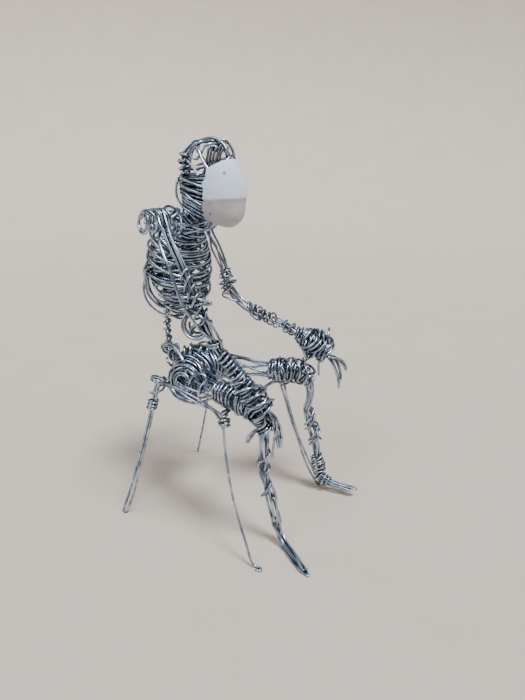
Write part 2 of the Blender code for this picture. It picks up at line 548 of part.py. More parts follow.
def mask_surface(inset=0.0):
    """Rows of points over the mask, from its top edge down, moved inwards by inset metres.

    Its middle line and its side edges are drawn in figure units, its half widths as shares of the widest.
    """
    fronts = ((-12.8, 238), (-17.2, 232), (-19.4, 226), (-20.3, 219), (-19.5, 213), (-20.1, 209),
              (-17.5, 204), (-11.5, 199))
    sides = ((-3, 233), (-2, 228), (-1, 223), (-1, 217), (-1, 212), (0, 209), (0.5, 206.5), (0.5, 204.5))
    halves = (0.80, 0.92, 0.98, 1.0, 0.98, 0.95, 0.86, 0.74)
    top = fronts[0][1]
    drawn = top - fronts[-1][1]
    stretch = MASK_HEIGHT / UNIT / drawn
    angle = np.linspace(-math.pi / 2, math.pi / 2, MASK_COLUMNS + 1)
    rows = []
    for front, side, half in zip(fronts, sides, halves):
        wide = half * MASK_WIDTH / 2 / UNIT - inset / UNIT
        front_y = front[0] + inset / UNIT
        row = np.column_stack([wide * np.sin(angle), side[0] + (front_y - side[0]) * np.cos(angle),
                               side[1] + (front[1] - side[1]) * np.cos(angle)])
        row[:, 2] = top - (top - row[:, 2]) * stretch
        rows.append(placed(row))
    return np.array(rows)


def face_mask(material):
    """The sheet round the face: two surfaces a thickness apart, joined at their edges."""
    outer, inner = mask_surface(), mask_surface(MASK_THICKNESS)
    high, wide = outer.shape[:2]
    mesh = bmesh.new()
    skins = [[[mesh.verts.new(point) for point in row] for row in skin] for skin in (outer, inner)]
    for row in range(high - 1):
        for column in range(wide - 1):
            for skin in skins:
                mesh.faces.new([skin[row][column], skin[row + 1][column], skin[row + 1][column + 1],
                                skin[row][column + 1]])
    edge = [(0, c) for c in range(wide - 1)] + [(r, wide - 1) for r in range(high - 1)] \
        + [(high - 1, c) for c in range(wide - 1, 0, -1)] + [(r, 0) for r in range(high - 1, 0, -1)]
    for (r, c), (next_r, next_c) in zip(edge, edge[1:] + edge[:1]):
        mesh.faces.new([skins[0][r][c], skins[0][next_r][next_c], skins[1][next_r][next_c], skins[1][r][c]])
    bmesh.ops.recalc_face_normals(mesh, faces=mesh.faces)
    finished("face_mask", mesh, material)


def finished(name, mesh, material):
    """Makes the object of a mesh, with flat faces cut into triangles and the material given."""
    bmesh.ops.triangulate(mesh, faces=mesh.faces)
    data = bpy.data.meshes.new(name)
    mesh.to_mesh(data)
    mesh.free()
    data.materials.append(material)
    bpy.context.scene.collection.objects.link(bpy.data.objects.new(name, data))


def tube(name, path, thickness, sides, material):
    """A wire: rings square to the path, joined side by side, with flat ends and nothing below the floor."""
    steps = unit(np.diff(path, axis=0))
    along = unit(np.vstack([steps[:1], steps[1:] + steps[:-1], steps[-1:]]))
    if path[-1, 2] == 0:
        along[-1] = (0, 0, -1)
    side = np.array([1.0, 0.3, 0.2])
    angle = np.arange(sides) * FULL_TURN / sides
    mesh = bmesh.new()
    rings = []
    for point, direction in zip(path, along):
        side = unit(side - direction * (side @ direction))
        up = np.cross(direction, side)
        ring = point + (np.outer(np.cos(angle), side) + np.outer(np.sin(angle), up)) * thickness / 2
        ring[:, 2] = np.maximum(ring[:, 2], 0)
        rings.append([mesh.verts.new(corner_point) for corner_point in ring])
    for ring, following in zip(rings, rings[1:]):
        for k in range(sides):
            mesh.faces.new([ring[k], following[k], following[(k + 1) % sides], ring[(k + 1) % sides]])
    mesh.faces.new(rings[0])
    mesh.faces.new(rings[-1][::-1])
    bmesh.ops.recalc_face_normals(mesh, faces=mesh.faces)
    finished(name, mesh, material)


def material(name, colour, roughness, metallic):
    made = bpy.data.materials.new(name)
    made.use_nodes = True
    shader = made.node_tree.nodes["Principled BSDF"]
    shader.inputs["Base Color"].default_value = (*colour, 1)
    shader.inputs["Roughness"].default_value = roughness
    shader.inputs["Metallic"].default_value = metallic
    made.diffuse_color = (*colour, 1)
    return made


def main():
    for thing in list(bpy.data.objects):
        bpy.data.objects.remove(thing)
    wires = Wires()
    for region in (head, trunk, hips, right_arm, left_arm, right_leg, left_leg, stool):
        region(wires)
    # The wires keep clear of the mask too, which stands in the settling as upright lines that never move
    mask_lines = [["mask", column, MASK_THICKNESS, np.zeros(len(column))]
                  for column in mask_surface(MASK_THICKNESS / 2).transpose(1, 0, 2)]
    settled = settle(wires.rows + mask_lines, WIRE_GAP, SETTLE_ROUNDS)
    bright = material("bright_wire", (0.72, 0.75, 0.80), 0.25, 1.0)
    thin = material("binding_wire", (0.66, 0.69, 0.74), 0.3, 1.0)
    sheet = material("white_sheet", (0.85, 0.85, 0.88), 0.8, 0.0)
    for (name, _, thickness, _), path in zip(wires.rows, settled):
        main_wire = thickness == WIRE
        tube(name, path, thickness, SIDES if main_wire else BINDING_SIDES, bright if main_wire else thin)
    face_mask(sheet)


if __name__ == "__main__":
    main()
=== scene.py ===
"""The looks of a wire figure on a wire stool: all wires round, with more turns than the frame's solids."""
import math

import bmesh
import bpy
import numpy as np
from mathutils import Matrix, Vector


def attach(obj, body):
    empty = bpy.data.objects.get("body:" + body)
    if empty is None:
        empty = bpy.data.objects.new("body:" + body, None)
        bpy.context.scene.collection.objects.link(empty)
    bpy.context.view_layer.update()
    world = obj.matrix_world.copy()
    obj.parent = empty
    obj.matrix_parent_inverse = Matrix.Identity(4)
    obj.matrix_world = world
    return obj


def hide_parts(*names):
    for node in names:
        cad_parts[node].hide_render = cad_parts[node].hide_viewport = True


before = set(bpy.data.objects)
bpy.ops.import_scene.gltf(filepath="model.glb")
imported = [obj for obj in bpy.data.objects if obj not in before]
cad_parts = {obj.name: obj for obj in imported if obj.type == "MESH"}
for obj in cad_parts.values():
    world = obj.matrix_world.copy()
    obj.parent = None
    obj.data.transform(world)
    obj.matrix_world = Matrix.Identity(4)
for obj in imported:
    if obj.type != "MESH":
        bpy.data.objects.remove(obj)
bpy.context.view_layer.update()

# Sizes of the real thing, in metres
HEIGHT = 0.250
SEAT_WIDTH = 0.079
SEAT_DEPTH = 0.054
SEAT_HEIGHT = 0.097
FEET_WIDTH = 0.0975
FEET_DEPTH = 0.1115
STOOL_BACK = 0.0148
WIRE = 0.0016
BINDING_WIRE = 0.0013
WIRE_GAP = 0.00005
MASK_THICKNESS = 0.0005

# The pose is drawn in figure units, a 250th of the height
UNIT = HEIGHT / 250
WIRE_UNITS = WIRE / UNIT
FULL_TURN = 2 * math.pi

# How finely the wires are made
POINTS_PER_TURN = 16
POINT_SPACING = 1.6
AXIS_SPACING = 0.8
FEWEST_POINTS = 8
RING_SPACING = 0.0008
SIDES = 10
MASK_ROWS = 60
MASK_COLUMNS = 49
# The two rings at each end of a wire: how far past the cut they lie, and how wide they are, in radii
END_RINGS = ((0.35, 0.55), (0.25, 0.86))

# How wires are pushed apart: rounds, rounds between searches for near wires, how many thicknesses of
# its own length a wire doesn't press on, how hard it is pushed, and how strongly its path is eased
SETTLE_ROUNDS = 260
SEARCH_EVERY = 20
OWN_LENGTH = 3.5
PUSH = 1.1
EASING = 0.5

# The sheet's half width in figure units, and how deep its soft dents and its edges' waver are
MASK_HALF_WIDTH = 15
DENT = 0.22
WAVERS = ((0.45, 5.1, 0), (0.35, 8.7, 1))
# The height where the sheet's down-facing bottom panel, painted greyer as shade, starts, how unevenly, and
# over what distance, in metres
CREASE_HEIGHT = 0.2160
CREASE_WAVER = 0.0005
CREASE_BLEND = 0.0005
# Small grey marks where ties were pressed through the sheet: place in figure units, and radius in metres
TIE_MARKS = (((-9.7, -12.9, 230.4), 0.0015), ((-14.1, -5.1, 213.8), 0.0008), ((-13.1, -4.7, 207.6), 0.0010))

# The camera's place in metres, its pitch and turn in degrees, and its lens and frame height in millimetres
CAMERA_PLACE = (-0.2771, -0.1796 + STOOL_BACK, 0.238)
CAMERA_PITCH = 70
CAMERA_TURN = -62
LENS = 27
FRAME_HEIGHT = 36


def unit(vectors):
    """The same directions at length 1."""
    vectors = np.asarray(vectors, float)
    return vectors / np.maximum(np.linalg.norm(vectors, axis=-1, keepdims=True), 1e-12)


def evenly(path, spacing):
    """The same line with points evenly spaced, about spacing apart."""
    path = np.asarray(path, float)
    length = np.concatenate([[0], np.cumsum(np.linalg.norm(np.diff(path, axis=0), axis=1))])
    places = np.linspace(0, length[-1], max(4, int(round(length[-1] / spacing)) + 1))
    return np.column_stack([np.interp(places, length, path[:, k]) for k in range(3)])


def smooth_line(points, fine=12):
    """A smooth line through the points, by centripetal Catmull-Rom pieces."""
    p = np.asarray(points, float)
    p = np.vstack([2 * p[0] - p[1], p, 2 * p[-1] - p[-2]])
    knots = np.concatenate([[0], np.cumsum(np.sqrt(np.linalg.norm(np.diff(p, axis=0), axis=1)) + 1e-9)])
    rows = []
    for i in range(1, len(p) - 2):
        t = np.linspace(knots[i], knots[i + 1], fine, endpoint=False)[:, None]

        def between(a, b, left, right):
            return (knots[right] - t) / (knots[right] - knots[left]) * a \
                + (t - knots[left]) / (knots[right] - knots[left]) * b

        first = between(p[i - 1], p[i], i - 1, i)
        second = between(p[i], p[i + 1], i, i + 1)
        third = between(p[i + 1], p[i + 2], i + 1, i + 2)
        rows.append(between(between(first, second, i - 1, i + 1), between(second, third, i, i + 2), i,
            i + 1))
    rows.append(p[-2:-1])
    return np.vstack(rows)


def spline(points):
    """A smooth wire through the points, in figure units, evenly divided."""
    return evenly(smooth_line(points), POINT_SPACING)


class Axis:
    """A smooth line with a frame carried along it, read by its share of length, 0 to 1."""

    def __init__(self, points, side=(1, 0, 0)):
        self.line = evenly(smooth_line(points), AXIS_SPACING)
        self.length = np.linalg.norm(np.diff(self.line, axis=0), axis=1).sum()
        self.along = unit(np.gradient(self.line, axis=0))
        self.side = np.empty_like(self.line)
        side = np.asarray(side, float)
        for i, direction in enumerate(self.along):
            side = unit(side - direction * (side @ direction))
            self.side[i] = side
        self.up = np.cross(self.along, self.side)

    def read(self, rows, shares):
        """Reads one vector of the frame at each share."""
        places = np.linspace(0, 1, len(self.line))
        return np.column_stack([np.interp(shares, places, rows[:, k]) for k in range(3)])

    def place(self, shares, side, up, along=0.0):
        """Points at shares of the line, moved off it to the side, up and along."""
        inside = np.clip(shares, 0, 1)
        beyond = (shares - inside) * self.length + along
        count = len(shares)
        return (self.read(self.line, inside)
                + self.read(self.side, inside) * np.broadcast_to(side, count)[:, None]
                + self.read(self.up, inside) * np.broadcast_to(up, count)[:, None]
                + self.read(self.along, inside) * np.broadcast_to(beyond, count)[:, None])


def sized(values, shares):
    """Reads one size, or a list of sizes spread evenly over 0 to 1, at each share."""
    values = np.atleast_1d(np.asarray(values, float))
    return np.interp(shares, np.linspace(0, 1, len(values)), values)


def coil(axis, turns, start, end, wide, deep=None, phase=0.0, tilt=0.0, lean=0.0, rough=0.0, seed=0):
    """A wire wound round an axis between two shares of it. wide and deep are its radii there.

    tilt slants each turn by that size towards the direction lean, and rough varies the turns by chance.
    """
    count = max(FEWEST_POINTS, int(round(turns * POINTS_PER_TURN)) + 1)
    shares = np.linspace(0, 1, count)
    angle = (phase + shares * turns) * FULL_TURN
    wide = sized(wide, shares)
    deep = wide if deep is None else sized(deep, shares)
    chance = np.random.default_rng(seed)
    knots = np.linspace(0, 1, max(3, int(turns * 1.5) + 2))
    wobble = [np.interp(shares, knots, chance.uniform(-1, 1, len(knots))) for _ in range(3)]
    grow = 1 + 0.5 * rough * wobble[0]
    slant = tilt * np.cos(angle - lean * FULL_TURN) \
        + rough * wide * (wobble[1] * np.cos(angle) + wobble[2] * np.sin(angle))
    return axis.place(start + (end - start) * shares, wide * grow * np.cos(angle),
        deep * grow * np.sin(angle), slant)


def strand(axis, start, end, out, phase=0.0, twist=0.0):
    """A wire that runs along an axis at the distance out from it, and winds round it twist times."""
    count = max(FEWEST_POINTS, int(abs(end - start) * axis.length / POINT_SPACING), int(abs(twist) * 12))
    shares = np.linspace(0, 1, count)
    angle = (phase + twist * shares) * FULL_TURN
    out = sized(out, shares)
    return axis.place(start + (end - start) * shares, out * np.cos(angle), out * np.sin(angle))


def spiral(centre, facing, side, inner, outer, turns, rise=0.0):
    """A spiral round a centre, in the plane that faces along facing, its middle raised by rise."""
    up = np.cross(facing, side)
    shares = np.linspace(0, 1, int(turns * POINTS_PER_TURN) + 1)
    angle = turns * shares * FULL_TURN
    radius = inner + (outer - inner) * shares
    return (np.asarray(centre, float) + np.outer(radius * np.cos(angle),
        side) + np.outer(radius * np.sin(angle), up) + np.outer(rise * (1 - shares), facing))


def placed(path):
    """Turns a path in figure units, measured from the stool's middle, into metres in the part's frame."""
    return np.asarray(path, float) * UNIT + (0, STOOL_BACK, 0)


class Wires:
    """The wires so far: name, path in metres, thickness, how far each point may be pushed, and the node."""

    def __init__(self):
        self.rows = []

    def add(self, name, path, thickness=WIRE, freedom=1.0, node=None, drawn=True):
        """Adds a wire. A drawn path is in figure units, and any other is in metres."""
        path = placed(path) if drawn else np.asarray(path, float)
        free = np.full(len(path), float(freedom))
        free[path[:, 2] < WIRE] = 0.0
        self.rows.append([name, path, thickness, free, node])

    def stands(self, node, path, thickness=WIRE, freedom=1.0, drawn=True):
        """Adds a wire that stands for the CAD node of that name."""
        self.add(node + "_round", path, thickness, freedom, node, drawn)


HEAD_AXIS = Axis([(0, 17, 200), (0, 12, 207), (0, 6, 216), (0, 3, 228), (0, 3, 240), (0, 3, 249)])
NECK_AXIS = Axis([(0, 18, 194), (0, 18, 200), (0, 15, 206), (0, 12, 210)])
TRUNK_AXIS = Axis([(0, 18, 205), (0, 24, 197), (0, 28, 186), (0, 29, 174), (0, 28.5, 161), (0, 29, 152),
    (0, 31, 142)])
SPINE_AXIS = Axis([(0, 19, 203), (0, 31, 192), (0, 40, 178), (0, 42, 160), (0, 42, 140), (0, 43, 126),
    (0, 41.5, 116), (-3, 37, 110)])
HIP_AXIS = Axis([(-21, 15, 100), (-10, 16, 102), (0, 17, 103), (10, 16, 102), (21, 15, 100)],
    side=(0, 1, 0))
RIGHT_SHOULDER_AXIS = Axis([(-34, 11, 206.5), (-41, 13, 206), (-49, 15.7, 205.5)], side=(0, 0, 1))
LEFT_SHOULDER_AXIS = Axis([(26, 25, 199), (34, 28, 198), (42, 31, 197)], side=(0, 0, 1))
RIGHT_ARM_AXIS = Axis([(-41, 10, 210), (-43, 5, 202), (-45, 0, 193.8), (-46, -5.8, 185), (-47, -12.4, 173),
    (-47, -17.2, 162), (-46, -20.7, 153), (-44, -23.6, 142.4), (-43, -28.5, 135), (-41, -34.5, 126),
    (-37, -41, 114), (-34, -47.4, 105), (-33, -50.8, 99)], side=(0, 1, 0))
LEFT_ARM_AXIS = Axis([(30, 28, 203), (31, 27, 192), (34, 22, 179), (37, 18.5, 166), (38, 17, 156),
    (40, 10, 144), (41, 2, 138), (41, -10, 133.5), (41, -24, 130), (41, -38.5, 124), (41, -49, 120),
    (41, -60, 114)], side=(0, 1, 0))
RIGHT_LEG_AXIS = Axis([(-20, 12, 100), (-22, -4, 100), (-25, -20, 100), (-28, -36, 99), (-30, -46, 96),
    (-31.5, -50, 88), (-31, -50, 78), (-30, -49, 68), (-28, -48, 54), (-26, -49.5, 40), (-24.5, -53, 26),
    (-23.5, -56.5, 12), (-23, -58, 5)])
LEFT_LEG_AXIS = Axis([(20, 12, 101), (20, -4, 101), (22, -16, 100), (27, -28, 100), (33, -41, 100),
    (36, -48, 95), (37, -50.8, 83), (38, -48.6, 70), (40, -51, 56), (42, -54, 43), (44, -54.5, 30),
    (46, -56, 18), (47, -57, 9)])
# Strands bound side by side lie this far from the limb's axis
BOUND = 0.62 * WIRE_UNITS


def head(wires):
    wires.stands("head_winding", coil(HEAD_AXIS, 11, 0.20, 0.62, [9.5, 12.5, 13.4, 13.4, 12.6],
        [10.5, 15, 17.2, 17.5, 16.8], phase=0.3, tilt=2.5, lean=0.75, rough=0.05, seed=1))
    wires.add("head_second_turns", coil(HEAD_AXIS, 8, 0.21, 0.60, [8.5, 11, 11.7, 11.7, 11],
        [9.5, 13.4, 15.4, 15.8, 15], phase=0.6, tilt=1.6, lean=0.70, rough=0.10, seed=2))
    wires.add("head_inner_turns", coil(HEAD_AXIS, 7, 0.20, 0.58, [5, 8, 9], [6, 11, 12.5], phase=0.1,
        tilt=3, lean=0.6, rough=0.25, seed=3))
    wires.add("head_cross_turns", coil(HEAD_AXIS, 2.2, 0.34, 0.56, [13.2, 14.4, 14.0], [17.0, 18.4, 18.0],
        phase=0.45, tilt=1.2, lean=0.30, rough=0.07, seed=4))
    wires.add("head_back_wire", spline([(9, 17, 232), (3, 22.5, 231), (-4, 22.2, 227), (-8, 22.4, 220.3),
        (-9.3, 20.6, 215.2), (-9.3, 15.6, 210.6), (-9.3, 8.4, 207), (-8, 2.7, 204.3)]))
    wires.stands("crown_arch", spline([(-7, 16, 222), (-6.5, 18, 229), (-5, 17.5, 235.5), (-4, 15.6, 242),
        (-2, 12.8, 246.6), (0, 8.5, 248.4), (1, 2.3, 248.6), (2, -3.8, 246.6), (2, -8.8, 242),
        (3, -11, 236.5), (4, -11.4, 230)]))
    wires.stands("crown_loops", spline([(-9, 15, 233), (-8.5, 16, 239), (-6, 14.5, 244), (-3.5, 11, 247.4),
        (-4.5, 7.6, 247.6), (-7, 5.6, 244), (-9, 2.9, 239), (-10, -0.3, 234.7), (-10.4, -3.2, 231),
        (-8.5, -5.5, 227)]))
    wires.add("crown_second_arch", spline([(5, 18, 224), (4.5, 20.5, 232.7), (4.5, 18.3, 241.5),
        (4.5, 11.5, 246.8), (5, 3.6, 247), (4.5, -4.2, 243.5), (4, -10, 238.5), (3, -11.5, 232)]))
    wires.add("crown_side_loop", spline([(9, -4, 239), (5, -3.5, 244.6), (-2, 0.6, 246.2),
        (-5.5, 3.2, 244.6), (-8, 4.3, 241), (-9, 6.8, 238), (-10, 10, 240.6), (-8.6, 9.6, 244.4),
        (-6, 5.6, 246.6), (-1, 2.6, 248.2), (4, -2.6, 247), (8, -6.5, 243), (10, -8, 237)]))
    wires.add("crown_cross_wire", spline([(12.5, 8, 226), (11.5, 13, 235), (7, 16, 242), (1, 15, 245.6),
        (-5, 16, 243), (-9.5, 13.5, 238.5), (-11, 8, 234), (-12.6, 3, 229)]))
    for number in range(2):
        rise = 2.4 * number
        wires.add("crown_front_wire_%d" % (number + 1), spline([(7, 18, 232 + rise), (11.5, 10, 234 + rise),
            (12, 0, 236 + rise), (8, -8, 237.5 + rise), (0, -12.5, 236.5 + rise), (-6, -10, 233 + rise)]))
    knot = Axis([(-7, 15, 230), (-8, 16.5, 236), (-6.5, 14, 241.5)])
    wires.add("crown_back_knot", coil(knot, 4, 0, 1, [2.4, 3.2, 2.4], phase=0.2, rough=0.25, seed=5))
    for number in range(5):
        aside = (number - 2) * 1.75
        x, y = 0.469 * aside, -0.883 * aside
        wires.add("head_core_%d" % (number + 1), spline([(x * 0.8, 16 + y * 0.8, 203),
            (x - 1.6, 7 + y, 220), (x - 1, 1.5 + y, 233), (x, y, 240), (x + 2, -1.5 + y, 245),
            (x + 6, -3 + y * 0.6, 244)]))
    wires.stands("neck_winding", coil(NECK_AXIS, 5, 0.0, 1.0, [7.4, 6.6, 7.4], [8, 7.4, 8.4], phase=0.5,
        tilt=2.5, lean=0.25, rough=0.12, seed=6))
    for number in range(4):
        wires.add("neck_strand_%d" % (number + 1), strand(NECK_AXIS, 0.0, 1.15, [4.6, 4.2, 4.8],
            phase=0.22 * number, twist=0.4))


def trunk(wires):
    wires.stands("upper_rib_winding", coil(TRUNK_AXIS, 10, 0.08, 0.53, [12, 17.5, 21, 21.7, 21.6],
        [8, 13, 16.8, 17.3, 17.2], phase=0.2, tilt=1.2, lean=0.2, rough=0.09, seed=8))
    wires.stands("lower_rib_winding", coil(TRUNK_AXIS, 6.5, 0.55, 0.95, [21.4, 19.4, 16, 11],
        [17, 15.2, 13, 9], phase=0.2, tilt=1.6, lean=0.25, rough=0.12, seed=9))
    wires.stands("side_rib_turns", coil(TRUNK_AXIS, 6, 0.20, 0.72, [19, 22.4, 22.4, 19],
        [16, 18.8, 18.6, 16.5], phase=0.4, tilt=8, lean=0.30, rough=0.10, seed=10))
    wires.stands("big_rib_loop", spline([(-20, 20, 184), (-20, 32, 177.5), (-18, 41, 169.7),
        (-15, 48.4, 158), (-12.5, 47.4, 147.8), (-10.5, 38, 141), (-6, 26.5, 140.6), (2, 18, 145),
        (10, 16, 155), (17, 26, 161), (15, 39, 165), (6, 48, 166.5), (-6, 50.6, 165), (-11, 45.4, 155),
        (-8.8, 36.6, 145), (-3, 26, 145), (5, 22, 149)]))
    for number, (inwards, low) in enumerate(((0.0, 0.0), (0.0, 9.0), (2.6, 19.0))):
        # Slanting hoops that sweep from high on the back round the right side and down to the front
        wires.add("rib_sweep_%d" % (number + 1), spline([(8, 44 - inwards, 184 - low),
            (-8, 46 - inwards, 183.5 - low), (-18.5, 39 - inwards, 181 - low),
            (-23 + inwards, 29, 175.5 - low), (-21.5 + inwards, 19, 171.5 - 0.8 * low),
            (-15 + inwards, 11.5, 169 - 0.7 * low), (-4, 9.5 + inwards, 168 - 0.7 * low),
            (8, 12.5 + inwards, 168.5 - 0.7 * low), (16 - inwards, 22, 170 - 0.7 * low)]))
    for number in range(2):
        # Thick loops that lie inside the big one and leave a dark gap behind them
        aside = 2.0 * (number + 1)
        wires.add("rib_side_loop_%d" % (number + 1), spline([(-18, 30, 180 - aside),
            (-20.5, 39 - 0.3 * aside, 173), (-17.5, 46 - aside, 163), (-15, 46.5 - aside, 152 + aside),
            (-13, 40 - aside, 145.5 + aside), (-9, 29, 145 + aside), (-2, 18, 148.5 + aside),
            (7, 14, 153 + aside)]))
    wires.add("inner_rib_turns", coil(TRUNK_AXIS, 9, 0.08, 0.74, [7, 14, 17, 17, 12], [5, 10, 13, 13, 10],
        phase=0.7, tilt=3.5, lean=0.7, rough=0.2, seed=11))
    wires.add("inner_cross_turns", coil(TRUNK_AXIS, 6, 0.12, 0.72, [9, 15, 16, 12], [7, 11, 12, 9],
        phase=0.1, tilt=5, lean=0.05, rough=0.25, seed=51))
    wires.add("lower_rib_knot", coil(TRUNK_AXIS, 4, 0.78, 1.02, [13, 11, 8], [11, 9, 7], phase=0.1, tilt=3,
        lean=0.35, rough=0.15, seed=12))
    core = Axis([(-6, 26, 184), (-2, 25, 172), (0, 27, 160), (2, 29, 152)])
    wires.add("rib_core_turns", coil(core, 7, 0, 1, [5, 7, 5], phase=0.2, rough=0.3, seed=13, tilt=2))
    for number in range(2):
        wires.stands("spine_wire_%d" % (number + 1),
            strand(SPINE_AXIS, 0.0, 1.0, 1.15, phase=0.5 * number, twist=8), BINDING_WIRE, freedom=0.5)
    spine_wrap = coil(SPINE_AXIS, 9, 0.62, 1.0, [1.9, 2.1, 1.9, 2.4], rough=0.35, seed=62)
    wires.add("spine_wrap", spine_wrap, BINDING_WIRE)
    wires.stands("collar_wire", spline([(-42, 20, 204), (-37, 21, 209), (-28, 16, 205), (-18, 14, 209),
        (-9, 24, 209), (-3, 28, 203), (6, 26, 199), (10, 16, 200), (3, 8, 202), (-8, 8, 201),
        (-20, 14, 200), (-30, 10, 198), (-36, 4, 199)]))
    wires.stands("left_collar_wire", spline([(9, 26, 207), (3, 30, 201), (-5, 26, 197), (-9, 18, 197),
        (-3, 10, 197), (8, 12, 198), (20, 20, 203), (30, 25, 206), (39, 33, 200)]))
    wires.add("collar_cross_wire", spline([(-30, 20, 208), (-20, 24, 203), (-14, 16, 197), (-22, 8, 200),
        (-30, 12, 206), (-22, 20, 208), (-12, 22, 204), (-6, 30, 200), (4, 30, 198)]))
    wires.add("collar_back_wire", spline([(-37, 20, 206), (-29, 26, 203), (-16, 30, 199), (0, 32, 197),
        (16, 30, 199), (30, 34, 201), (40, 34, 200)]))
    wires.add("collar_loop", spline([(-33, 12, 203), (-29, 18, 209), (-22, 19, 212), (-17, 17, 209.5),
        (-19, 12, 203), (-25, 10, 197), (-30, 15, 194)]))
    wires.add("collar_front_wire", spline([(-34, 6, 204), (-26, 4, 203), (-14, 4, 199), (-4, 6, 197),
        (8, 10, 196), (16, 16, 199)]))


def hips(wires):
    wires.stands("right_hip_spiral", spiral((-21, 15, 100), (-1, 0, 0), (0, 1, 0), 4.0, 12.0, 4.2,
        rise=1.5))
    wires.stands("left_hip_spiral", spiral((21, 15, 100), (1, 0, 0), (0, 1, 0), 2.6, 12.0, 4.8, rise=1.5))
    wires.stands("hip_winding", coil(HIP_AXIS, 12, 0.06, 0.94, [12, 13.5, 14.5, 14, 12],
        [11, 13, 13.5, 13, 11], phase=0.1, tilt=1.5, lean=0.2, rough=0.10, seed=14))
    wires.add("hip_inner_turns", coil(HIP_AXIS, 12, 0.02, 0.98, [9, 11, 12, 11, 9], [9, 10.5, 11, 10.5, 9],
        phase=0.6, tilt=3, lean=0.5, rough=0.15, seed=53))
    wires.add("hip_cross_turns", coil(HIP_AXIS, 5, 0.04, 0.60, [12, 15, 16], [11, 14.5, 15], phase=0.3,
        tilt=5, lean=0.1, rough=0.14, seed=54))
    axis = Axis([(-8, 31, 110.5), (-2, 38, 112.5), (5, 40, 111)], side=(0, 0, 1))
    wires.stands("spine_foot_coil", coil(axis, 4, 0, 1, [2.8, 3.6, 3.2], rough=0.35, tilt=1.2, seed=15))
    for number in range(2):
        # Arcs that join the spine's foot to the top of the hips
        aside = 1.8 * number
        wires.add("hip_back_arc_%d" % (number + 1), spline([(2, 40, 108 + aside), (-4, 42 - aside, 112),
            (-9, 41 - aside, 117), (-12, 35, 121 - aside), (-14, 28, 121.5 - aside), (-16, 21, 117 - aside),
            (-17, 16, 111)]))
    axis = Axis([(-13, 33, 108), (-9, 25, 114.5), (-5, 15, 117), (-2, 6, 115)], side=(0, 0, 1))
    wires.add("hip_top_coil", coil(axis, 7, 0, 1, [3, 4.4, 4.6, 3.4], rough=0.25, tilt=1.5, seed=16))
    wires.add("hip_loose_loop", spline([(-20, 8, 88), (-24, 2.3, 91.8), (-26.5, -1.9, 102.6),
        (-26.5, -6.7, 108.4), (-26, -3.9, 111.2), (-26, 2.2, 109.7), (-25.5, 8, 102.6), (-25, 11, 94.5),
        (-21, 14, 87)]))
    for number in range(2):
        low = 1.8 * number
        wires.add("hip_under_wire_%d" % (number + 1), spline([(-23, 26, 97 - low), (-24, 20.8, 92 - low),
            (-24, 12.9, 89.5 - low), (-22.5, 3, 91 - low), (-21, -8, 95 - low), (-22, -20, 98)]))


def doubled(points, apart=(1.7, 0.4, 0.0)):
    """A wire that runs out along the points and back beside itself, like a long narrow eye."""
    out = np.asarray(points, float)
    back = out[-2::-1] + np.asarray(apart, float)
    return np.vstack([out, back])


def arm_wires(wires, side, axis, outs, twist, fingers):
    """The four wires of an arm, each running on into a finger. The first two stand for the solids' wires."""
    for number, (out, finger) in enumerate(zip(outs, fingers)):
        core = strand(axis, 0.0, 1.0, out, phase=number / 4, twist=twist)
        path = np.vstack([core[:-1], spline([core[-1]] + finger)])
        if number < 2:
            wires.stands("%s_arm_wire_%d" % (side, number + 1), path, freedom=0.5)
        else:
            wires.add("%s_arm_strand_%d" % (side, number + 1), path, freedom=0.5)


